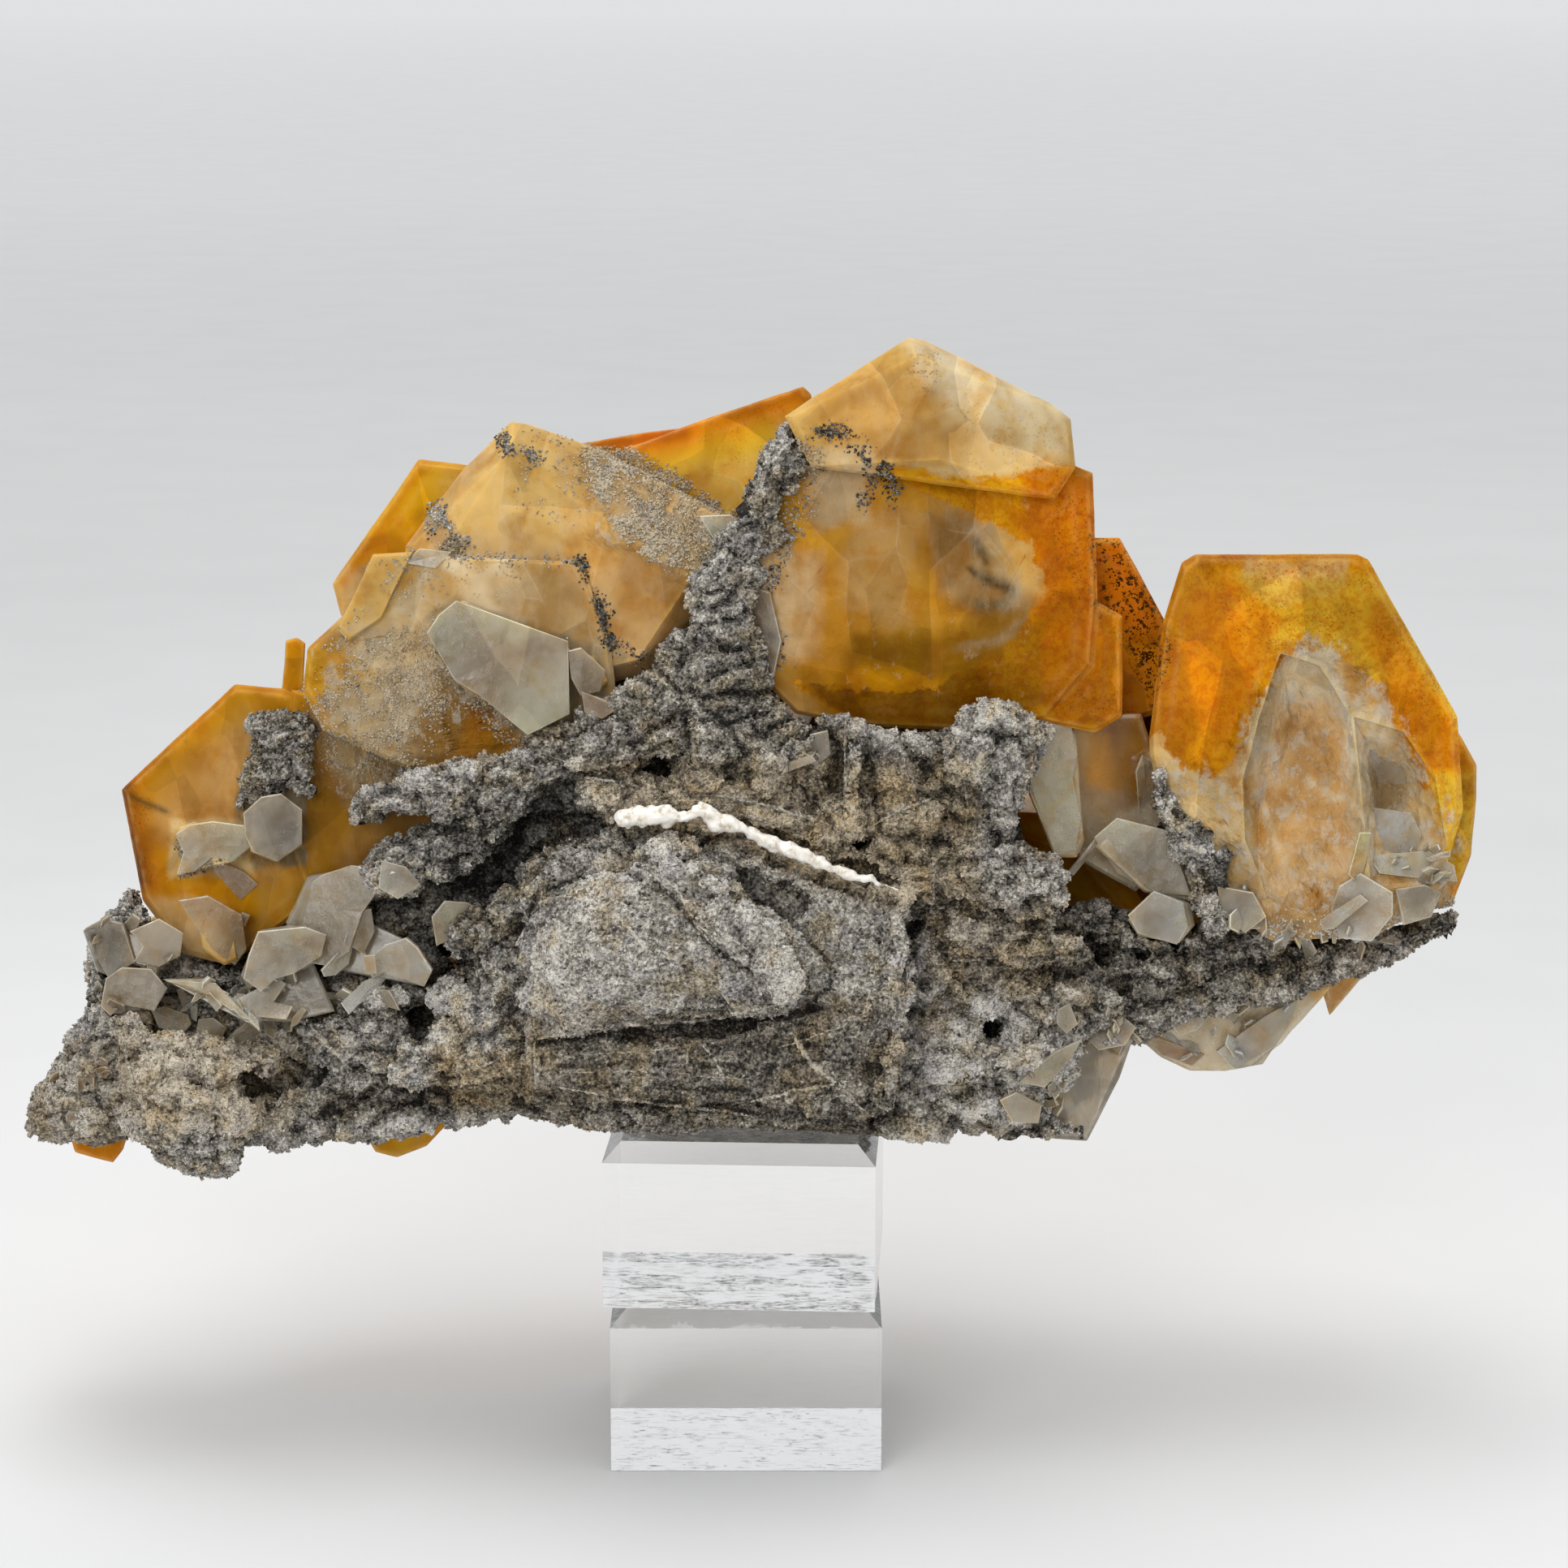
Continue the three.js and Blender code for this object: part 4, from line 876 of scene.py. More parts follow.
def rockMaterial(name):
    # Sugary grey crust with streaky pits, over its own random grain tones. Its tones follow the same
    # heights as its mesh and its bumps: painted shade between its grains, in pits and in hollows, and
    # painted light on what stands out. A grain adds its own tone, and reads the same noise as the rock
    # that it sits on.
    material, tree, shader = shaderOf(name)
    sugar = noiseOf(tree, 1.05, 3, 0.75, 0.3, stretch=(0.75, 0.85, 1.2))
    clumps = noiseOf(tree, 4.2, 3, 0.65, 0.4, stretch=(0.55, 0.7, 1.3))
    fine = noiseOf(tree, 0.45, 1, 0.7)
    grain = cellsOf(tree, 0.8)
    height = mathOf(tree, "MULTIPLY_ADD", attributeOf(tree, "relief"), 0.32, rock["tone"])
    # relief and hollow paint light on what stands out and shade on what lies back; sugar, fine and grain
    # darken the crust where their bumps are low, as painted shade between its grains
    for source, centre, amount in (
        (attributeOf(tree, "hollow"), 0.0, 0.14),
        (attributeOf(tree, "pale"), 0.0, 0.42),
        (attributeOf(tree, "tone"), 0.0, 1.0),
        (sugar, 0.5, 1.3),
        (clumps, 0.5, 0.3),
        (fine, 0.5, 1.1),
        (grain, 0.45, -0.7),
    ):
        part = timesOf(tree, mathOf(tree, "SUBTRACT", source, centre), amount)
        height = mathOf(tree, "ADD", height, part)
    shade = rampOf(
        tree,
        height,
        [
            (0.0, colour(48, 45, 41)),
            (0.2, colour(88, 84, 77)),
            (0.42, colour(130, 125, 115)),
            (0.65, colour(166, 161, 151)),
            (0.85, colour(198, 192, 181)),
            (1.0, colour(222, 217, 207)),
        ],
    )
    # painted shade in pits: the lowest spots of the sugar noise, which is also the bump height, are darkened
    pitShade = rampOf(tree, sugar, [(0.3, 0.9), (0.37, 0.0)])
    beige = timesOf(tree, attributeOf(tree, "beige"), 0.85, clamp=True)
    rusty = rampOf(tree, noiseOf(tree, 22, 1), [(0.4, 0.0), (0.6, 1.0)])
    rusty = timesOf(tree, attributeOf(tree, "brown"), rusty)
    tan = rampOf(tree, noiseOf(tree, 7, 2, 0.65), [(0.5, 0.0), (0.62, 0.7)])
    cool = rampOf(tree, noiseOf(tree, 5, 2, 0.65), [(0.5, 0.0), (0.62, 0.8)])
    for where, tint, amount in (
        (pitShade, (84, 81, 78), 1.0),
        (beige, (234, 212, 168), 0.9),
        (rusty, (150, 128, 86), 0.9),
        (tan, (238, 218, 176), 0.8),
        (cool, (206, 206, 220), 0.7),
    ):
        shade = tinted(tree, where, shade, colour(*tint), amount)
    normal = bumpOf(tree, sugar, 0.9, 1.0)
    normal = bumpOf(tree, fine, 0.3, 1.0, normal)
    normal = bumpOf(tree, mathOf(tree, "SUBTRACT", 1.0, grain), 0.5, 1.0, normal)
    setInput(
        tree,
        shader,
        BaseColor=shade,
        Roughness=rampOf(tree, fine, [(0.3, 0.6), (0.7, 0.92)]),
        SpecularIORLevel=0.25,
        Normal=normal,
    )
    return material


sugaryRock = rockMaterial("sugaryRock")
rockGrain = rockMaterial("rockGrain")


def tintsAt(spots, depths, farthest):
    beige, pale, brown = (np.zeros(len(spots)) for _ in range(3))
    for outline, edge, toBeige, toPale, toBrown in rockTints:
        weight = patch(spots, outline, edge) * stepUp(depths, farthest + 8, farthest)
        beige = np.maximum(beige, weight * toBeige)
        pale += weight * toPale
        brown = np.maximum(brown, weight * toBrown)
    return beige, np.clip(pale, -1.2, 0.8), brown


beige, pale, brown = tintsAt(rockSpots, rockPoints[:, 1], -2)
# painted light and shade: relief less the pits, and hollow, make pits and hollows darker and what stands out
# paler; in pale the slits are painted darker as shade and the ridges paler
rockValues = {
    "relief": np.clip(rockRelief / 0.9 - 0.7 * rockPits, -1.2, 1.2),
    "hollow": np.clip(rockHollow / 2.0, -1.2, 1),
    "beige": beige,
    "pale": np.clip(pale + 0.3 * rockMarks, -1.3, 1),
    "brown": brown,
}
matrixRock = writeMesh("matrixRock", rockPoints, rockFaces, rockValues, smooth=True)
placed(matrixRock, sugaryRock, "matrix_rock", "matrix")


# Crystals
crystals = {
    "angle": 18.0,  # turn between two faces that counts as a crystal edge
    "nearEdge": 1.2,  # longest side of a triangle beside a crystal edge
    "farEdge": (1.6, 3.2),  # on the side towards the viewer, and behind
    "turn": 12.0,  # Y where the shapes stop being drawn finely
    "fracture": ((7.0, 0.9), (2.8, 0.45)),  # broken steps in etched areas: size and height
    "wear": 0.15,
    "undulation": 0.14,
    "wander": (9.0, 5.0),  # picture points that the painted edges wander, broad and fine
    "depth": 0.4,  # added to the power of the paints' share of blue where they are deep
    "gain": 1.32,  # how much brighter than seen the paints are laid, since no face gets full light
}

paints = {
    "peach": colour(192, 146, 88),
    "sand": colour(190, 162, 120),
    "blush": colour(206, 166, 118),
    "straw": colour(216, 178, 108),
    "cream": colour(222, 196, 148),
    "honey": colour(218, 164, 40),
    "gold": colour(212, 146, 4),
    "amber": colour(198, 116, 2),
    "ochre": colour(182, 128, 46),
    "rust": colour(172, 84, 3),
    "darkRust": colour(90, 32, 6),
    "olive": colour(130, 86, 2),
    "milk": colour(224, 210, 184),
    "pearl": colour(202, 192, 172),
    "ash": colour(140, 130, 114),
    "slate": colour(94, 94, 86),
    "soot": colour(48, 40, 32),
    "umber": colour(126, 86, 28),
    "dusk": colour(214, 190, 152),
    "sun": colour(250, 182, 84),
    "orange": colour(222, 128, 4),
    "tawny": colour(170, 102, 3),
}


def paintOf(name):
    return np.array(paints[name][:3])


# Each crystal piece's paint, laid in this order: an area or a line as it is seen, its paint, its soft
# edge or half width in picture points, how much, and the nearest and farthest Y where it takes if
# that isn't everywhere.
everywhere = (-60, 60)
leftPaint = {
    "base": "peach",
    "marks": (
        ("148 973,290 842,357 852,400 830,430 1000,360 1190,173 1092", "ochre", 20, 0.7),
        ("200 940,300 890,350 960,330 1060,200 1050", "peach", 40, 0.8),
        ("190 1060,290 1080,300 1120,200 1110", "gold", 26, 0.7),
        ("185 1115,260 1120,300 1190,200 1160", "cream", 24, 0.55),
        ("380 960,500 960,480 1100,380 1150", "umber", 30, 0.6),
        ("370 860,430 860,430 960,370 960", "peach", 24, 0.6),
        ("500 556,600 570,560 650,440 700,425 780,395 715", "honey", 10, 1.0, (2, 60)),
        ("420 690,500 640,470 770,420 770", "gold", 20, 0.6, (2, 60)),
        (
            "430 705,520 690,700 694,745 740,762 810,700 900,600 960,440 985,415 860",
            "sand", 26, 0.85, (-30, 20),
        ),
        ("540 640,640 620,700 690,520 694", "sand", 22, 0.6, (-14, 60)),
        ("500 700,640 694,650 730,540 770,480 750", "milk", 22, 0.7, (-30, 20)),
        ("700 694,790 690,862 720,836 790,790 836,756 800", "blush", 18, 0.7, (-30, 20)),
        ("450 760,540 740,560 850,470 900,420 860", "milk", 40, 0.35, (-30, 20)),
        (
            "633 523,740 553,850 590,920 650,860 720,740 690,640 640,560 640",
            "straw", 24, 0.95, (-14, 60),
        ),
        (
            "730 560,790 565,870 618,920 655,900 690,850 700,792 676,745 615",
            "milk", 16, 0.75, (-14, 60),
        ),
        ("740 680,860 720,860 800,780 830,740 790", "blush", 40, 0.6),
        ("700 560,800 590,925 650,860 740,780 760,716 690", "peach", 26, 0.6, (-14, 60)),
        ("560 570,640 526,720 560,700 650,560 670", "sand", 34, 0.35, (-14, 60)),
        ("440 690,535 682,470 760,420 770", "straw", 12, 0.8, (-22, 4)),
        ("370 800,440 790,450 840,380 850", "honey", 16, 0.6),
        ("540 840,700 850,690 920,600 980,500 960", "umber", 24, 0.85),
        ("590 880,650 890,620 960,560 950", "amber", 18, 0.25),
        ("430 850,500 850,500 960,430 970", "ash", 30, 0.35),
        ("526 770,560 736,704 790,706 884,650 908,570 855", "ash", 7, 0.8, (-30, -13)),
        ("560 742,640 770,600 820,540 790", "pearl", 20, 0.5, (-30, -13)),
        ("690 800,760 800,760 870,700 870", "ash", 8, 0.7, (-30, -10)),
        ("298 975,375 975,375 1065,298 1065", "slate", 8, 0.75, (-25, -8)),
        ("320 990,365 995,350 1040", "pearl", 14, 0.6, (-25, -8)),
        ("215 1010,312 1015,308 1068,215 1080", "cream", 8, 0.85, (-25, -6)),
        ("345 785,380 785,372 870,345 870", "gold", 5, 0.9, (-12, 60)),
    ),
    "lines": (
        ("148 973,290 842,357 852", "gold", 34, 0.7),
        ("148 973,290 842,357 852", "amber", 9, 0.5),
        ("148 973,155 1020,173 1092", "rust", 34, 0.75),
        ("148 973,152 1010,170 1085", "darkRust", 12, 0.85),
        ("510 566,405 715,418 760", "straw", 8, 0.7, (2, 60)),
        ("515 580,425 715", "amber", 7, 0.5, (2, 60)),
        ("510 566,580 573", "amber", 7, 0.6, (2, 60)),
        ("560 740,700 792", "umber", 4, 0.5, (-30, -12)),
        ("160 983,185 992,205 998", "soot", 4, 0.7),
    ),
}
peakPaint = {
    "base": "peach",
    "marks": (
        ("700 530,990 470,1010 560,900 660,800 620", "sun", 16, 0.95, (2, 60)),
        ("850 590,960 560,930 650", "straw", 30, 0.5, (2, 60)),
        ("960 525,1120 420,1322 515,1330 570,1180 585,1080 565", "straw", 20, 0.9),
        ("1020 500,1130 460,1200 560,1060 566", "peach", 45, 0.75),
        ("1150 445,1310 512,1305 545,1210 530", "milk", 30, 0.75),
        ("1180 510,1290 560,1180 575", "cream", 24, 0.6),
        ("1290 580,1350 600,1350 790,1300 760", "amber", 30, 0.7),
        ("970 610,1110 590,1200 700,1160 800,990 800", "ochre", 40, 0.75),
        ("1060 800,1180 790,1230 850,1160 895,1040 880", "olive", 26, 0.95),
        ("1220 640,1290 640,1280 720,1210 690", "straw", 20, 0.55),
        ("950 690,1000 690,990 800,955 790", "milk", 26, 0.35),
        ("1060 640,1120 640,1100 760,1050 740", "sand", 30, 0.3),
        ("1150 640,1215 650,1265 740,1240 785,1170 720", "ash", 22, 0.5),
        ("1000 560,1070 560,1060 630,1010 640", "pearl", 20, 0.45),
        ("1210 760,1330 760,1330 860,1190 850", "olive", 34, 0.85),
        ("1000 830,1180 850,1280 860,1150 900,1040 880", "gold", 26, 0.55),
        ("1280 742,1340 732,1392 755,1392 885,1300 885", "amber", 10, 0.85, (-60, 0)),
        ("1345 655,1390 655,1445 785,1425 880,1385 880,1350 740", "orange", 8, 0.9, (0, 60)),
        ("1375 770,1430 800,1410 870", "gold", 20, 0.5, (0, 60)),
    ),
    "lines": (
        ("760 548,880 515,998 478", "orange", 32, 0.85, (2, 60)),
        ("900 508,998 478,985 530", "amber", 14, 0.8, (2, 60)),
        ("715 547,840 533", "rust", 14, 0.9, (2, 60)),
        ("968 522,1120 424", "straw", 9, 0.6),
        ("1120 424,1318 512", "milk", 9, 0.55),
        ("1340 590,1347 700,1343 790", "rust", 15, 0.8),
        ("1388 755,1388 880", "rust", 7, 0.6, (-60, 0)),
        ("1000 568,1090 566,1200 586,1325 566", "cream", 4, 0.5),
        ("960 830,1060 870,1150 885,1280 850", "olive", 24, 0.6),
        ("1180 800,1230 790,1300 730", "ash", 5, 0.35),
        ("1200 665,1215 690", "soot", 7, 0.8),
        ("1210 708,1235 722,1250 730", "soot", 8, 0.85),
        ("1205 745,1240 745", "slate", 8, 0.7),
        ("1196 700,1200 706", "soot", 4, 0.9),
    ),
    "over": {
        "area": (
            "1085 572,1200 590,1360 570,1380 900,1180 905,1060 900,980 840,1040 850,1150 850,"
            "1235 800,1290 735,1275 670,1210 640,1140 610",
            26, (-60, 8),
        ),
        "base": "gold",
        "marks": (
            ("1270 580,1350 600,1350 800,1290 790", "amber", 26, 0.9),
            ("1120 585,1250 600,1240 640,1150 610", "honey", 24, 0.7),
            ("1230 770,1330 770,1330 860,1200 860", "olive", 30, 0.8),
            ("1000 830,1180 800,1220 890,1060 905", "olive", 24, 1.0),
            ("1040 830,1160 840,1180 900,1060 905", "umber", 22, 0.7),
            ("1285 745,1340 735,1394 755,1394 890,1300 890", "tawny", 12, 0.9),
        ),
        "lines": (("1342 590,1347 700,1343 790", "rust", 10, 0.5),),
    },
}
rightPaint = {
    "base": "peach",
    "marks": (
        ("1420 930,1490 960,1540 1010,1520 1090,1450 1010", "cream", 22, 0.8),
        ("1530 860,1590 790,1650 800,1640 880,1560 960", "milk", 20, 0.85),
        ("1590 880,1655 860,1670 1060,1600 1080,1560 980", "blush", 20, 0.85),
        ("1655 870,1700 880,1745 960,1745 1060,1680 1070", "milk", 14, 0.85),
        ("1668 945,1732 950,1728 992,1680 990", "ash", 14, 0.75),
        ("1745 960,1800 1010,1795 1080,1750 1080", "cream", 20, 0.6),
        ("1540 1060,1700 1060,1800 1090,1700 1170,1540 1160", "pearl", 24, 0.3),
    ),
    "lines": (
        ("1545 880,1580 800,1600 786", "cream", 8, 0.7),
        ("1525 935,1560 1000,1580 1060", "milk", 6, 0.5),
        ("1612 960,1640 985,1660 980", "milk", 4, 0.8),
        ("1655 870,1672 940,1676 1050", "milk", 5, 0.8),
    ),
    "over": {
        "area": (
            "1400 660,1720 660,1760 780,1840 890,1850 1060,1800 1120,1772 1010,1738 930,1700 850,"
            "1650 800,1600 792,1560 850,1528 930,1500 958,1460 950,1425 905,1400 930",
            34, everywhere,
        ),
        "base": "gold",
        "marks": (
            ("1540 692,1655 692,1640 735,1540 735", "cream", 10, 0.55),
            ("1530 720,1700 720,1760 850,1700 840,1600 790,1540 800", "sun", 22, 0.75),
            ("1475 735,1530 730,1562 770,1545 830,1500 900,1465 860", "orange", 20, 0.6),
            ("1400 840,1440 780,1470 880,1440 950,1400 940", "tawny", 20, 0.9),
            ("1700 760,1760 850,1815 980,1770 940,1720 860", "amber", 22, 0.45),
            ("1770 960,1815 960,1815 1080,1785 1080", "sun", 18, 0.9),
        ),
        "lines": (
            ("1458 688,1690 686", "amber", 6, 0.5),
            ("1692 690,1797 888,1822 940,1820 1030", "sun", 10, 0.85),
        ),
    },
}
pocketPaint = {
    "base": "sand",
    "marks": (
        ("1250 870,1440 870,1440 975,1350 960,1300 900", "gold", 22, 0.85, (-8, 60)),
        ("1240 950,1300 960,1300 1060,1240 1060", "umber", 16, 0.8, (-8, 60)),
        ("1370 900,1430 900,1430 980,1380 990", "olive", 20, 0.6, (-8, 60)),
        ("1262 880,1335 880,1330 1062,1262 1062", "cream", 8, 0.55, (-24, -3)),
        ("1345 1005,1510 1005,1510 1120,1345 1120", "pearl", 8, 0.7, (-24, 0)),
        ("1390 1040,1430 1040,1430 1075,1390 1075", "ash", 14, 0.6, (-24, 0)),
        ("1385 1095,1480 1095,1480 1170,1385 1170", "pearl", 6, 0.9, (-30, -5)),
    ),
    "lines": (("1270 960,1300 890,1330 885", "milk", 5, 0.5, (-24, 0)),),
}
palePaint = {
    "base": "pearl",
    "marks": (
        ("1615 1190,1700 1170,1690 1260,1630 1265", "honey", 12, 0.9),
        ("1400 1230,1560 1220,1500 1310,1410 1300", "cream", 30, 0.6),
        ("1430 1230,1590 1200,1640 1320,1420 1320", "milk", 22, 0.85),
        ("1300 1230,1420 1230,1390 1420,1290 1420", "ash", 20, 0.45),
        ("100 1130,165 1130,165 1200,100 1200", "slate", 10, 0.75),
        ("120 1190,200 1190,200 1250,120 1250", "ash", 10, 0.7),
        ("160 1150,240 1150,240 1200,160 1200", "cream", 10, 0.5),
        ("295 1150,540 1150,540 1290,295 1290", "ash", 24, 0.25),
    ),
    "lines": (),
}
rearPaint = {"base": "honey", "marks": (), "lines": ()}

# Where the faces are etched rough, and where dark specks lie: line or area and soft edge, then how much.
etchedAreas = (
    (
        "1415 940,1500 950,1560 850,1600 790,1655 800,1730 890,1800 1010,1790 1120,"
        "1560 1150,1440 1060",
        20, 1.0,
    ),
    ("390 800,560 780,640 860,560 960,400 980", 24, 0.8),
    ("720 550,930 650,860 720,740 650", 16, 0.8),
    ("960 570,1300 620,1280 850,980 840", 30, 0.35),
)
speckAreas = (
    ("1340 650,1395 650,1445 790,1425 880,1350 740", 10, 1.0),
    ("1480 690,1680 690,1650 790,1560 800,1500 760", 30, 0.45),
    ("1680 720,1740 780,1800 900,1740 870", 20, 0.45),
    ("1300 580,1345 600,1345 760,1300 740", 20, 0.5),
    ("1290 850,1390 850,1390 885,1300 885", 12, 0.5),
    ("1180 500,1320 540,1320 590,1200 580", 20, 0.25),
    ("1130 430,1160 440,1150 480,1120 470", 8, 0.5),
    ("150 975,180 980,185 1085,160 1080", 14, 0.5),
    ("850 520,990 490,980 560,880 570", 24, 0.25),
)


def crystalSurface(node):
    # The CAD crystals with short triangles near their edges, the edges worn by relaxing, and the
    # faces moved a little along their normals by broad and fine growth unevenness.
    points, faces = joinedTriangles(node)
    starts, ends = sharpEdges(points, faces, crystals["angle"])
    near, (far, farBehind) = crystals["nearEdge"], crystals["farEdge"]

    def limit(places):
        behind = stepUp(places[:, 1], crystals["turn"] - 4, crystals["turn"] + 4)
        longest = far + (farBehind - far) * behind
        return near + (longest - near) * stepUp(toEdges(places, starts, ends), 0.5, 2.2)

    points, faces = divided(points, faces, near, farBehind, limit)
    away = toEdges(points, starts, ends)
    points = relaxed(points, faces, crystals["wear"] * stepUp(away, 1.2, 0.0), 2)
    normals = cornerNormals(points, faces)
    rough = crystals["undulation"] * octaves(points, 9, 60, 2)
    torn = strongest(onPicture(points), etchedAreas)
    torn *= stepUp(-(normals @ forward), 0.2, 0.5) * stepUp(away, 0.4, 1.6)
    torn *= points[:, 1] < crystals["turn"]
    for k, (size, step) in enumerate(crystals["fracture"]):
        _, _, label = cells(points * [1, 1, 0.6] + swell(points, 5, 63)[:, None], size, 64 + k)
        rough += step * (label - 0.5) * torn
    return points + normals * rough[:, None], faces, away


def laidPaint(points, spots, drift, base, marks, lines):
    # Each mark mixes its paint over what lies under it, where it is seen and within its depths.
    shade = np.tile(paintOf(base), (len(points), 1))
    for rows, cover, wander in ((marks, patch, 1.0), (lines, stroke, 0.3)):
        for line, name, width, amount, *depths in rows:
            reached = between(points, *(depths[0] if depths else everywhere))
            weight = amount * cover(spots + wander * drift, line, width) * reached
            shade += weight[:, None] * (paintOf(name) - shade)
    return shade


def crystalColours(points, faces, away, paint):
    # The picture places wander by noise first, so that no edge is drawn straight. The far side is
    # honey with rust towards its crystal edges. The second coat covers the first where its field
    # is above one half, and the material gives that border its ragged line.
    broad, fine = crystals["wander"]
    spots = onPicture(points)
    drift = np.stack(
        [broad * swell(points, 9, 70 + k) + fine * swell(points, 2.6, 73 + k) for k in range(2)], -1
    )
    shade = laidPaint(points, spots, drift, paint["base"], paint["marks"], paint["lines"])
    towards = stepUp(-(cornerNormals(points, faces) @ forward), 0.0, 0.3)
    front = np.maximum(stepUp(points[:, 1], 36, 24), towards * stepUp(points[:, 1], 56, 48))[:, None]
    if paint is rearPaint:
        front = np.zeros((len(points), 1))
    coat, field = shade.copy(), np.zeros(len(points))
    if "over" in paint:
        over = paint["over"]
        outline, soft, depths = over["area"]
        signed = toLine(spots, closed(outline)) * np.where(inside(spots, outline), 1, -1)
        field = np.clip(0.5 + signed / (2 * soft), 0, 1)
        field *= between(points, *depths)
        laid = laidPaint(points, spots, drift, over["base"], over["marks"], over["lines"])
        coat = np.where((field > 0)[:, None], laid, coat)
    field *= front[:, 0]
    if paint in (rearPaint, leftPaint, peakPaint, rightPaint):
        cloud = stepUp(octaves(points, 22, 80), -0.35, 0.55)[:, None]
        back = paintOf("honey") * (1 - cloud) + paintOf("straw") * cloud
        pale = stepUp(octaves(points, 16, 84), 0.1, 0.7)[:, None]
        back += 0.5 * pale * (paintOf("cream") - back)
        for name, reach, amount in (("gold", 9.0, 0.7), ("amber", 4.0, 0.6), ("rust", 1.2, 0.5)):
            rim = amount * np.exp(-((away / reach) ** 2)) * stepUp(swell(points, 14, 90), -0.8, 0.5)
            back += rim[:, None] * (paintOf(name) - back)
        shade = shade * front + back * (1 - front)
    for layer in (shade, coat):
        if paint is not palePaint:
            # thick honey calcite lets almost no blue through
            share = layer[:, 2] / layer[:, 0]
            layer[:, 2] = layer[:, 0] * share ** (1.08 + crystals["depth"] * stepUp(share, 0.17, 0.05))
    # veils show in the pale paints and not in the saturated ones
    seen = np.where((field > 0.5)[:, None], coat, shade)
    veil = np.clip(2.6 * seen[:, 2] / np.maximum(seen[:, 0], 1e-6), 0.04, 1)
    values = {
        "etch": strongest(spots + drift, etchedAreas) * front[:, 0],
        "speck": np.maximum(strongest(spots + drift, speckAreas) * front[:, 0], 0.1),
        "edge": np.exp(-((away / 0.5) ** 2)),
        "veil": veil,
        "growth": np.exp(-(((away - 2.6) / 0.5) ** 2)),
        "over": field,
    }
    return shade, coat, values


def paintOn(mesh, shade, name="paint"):
    layer = mesh.attributes.new(name, "FLOAT_COLOR", "POINT")
    rows = np.concatenate([np.clip(shade * crystals["gain"], 0, 0.95), np.ones((len(shade), 1))], 1)
    layer.data.foreach_set("color", rows.astype(np.float32).ravel())


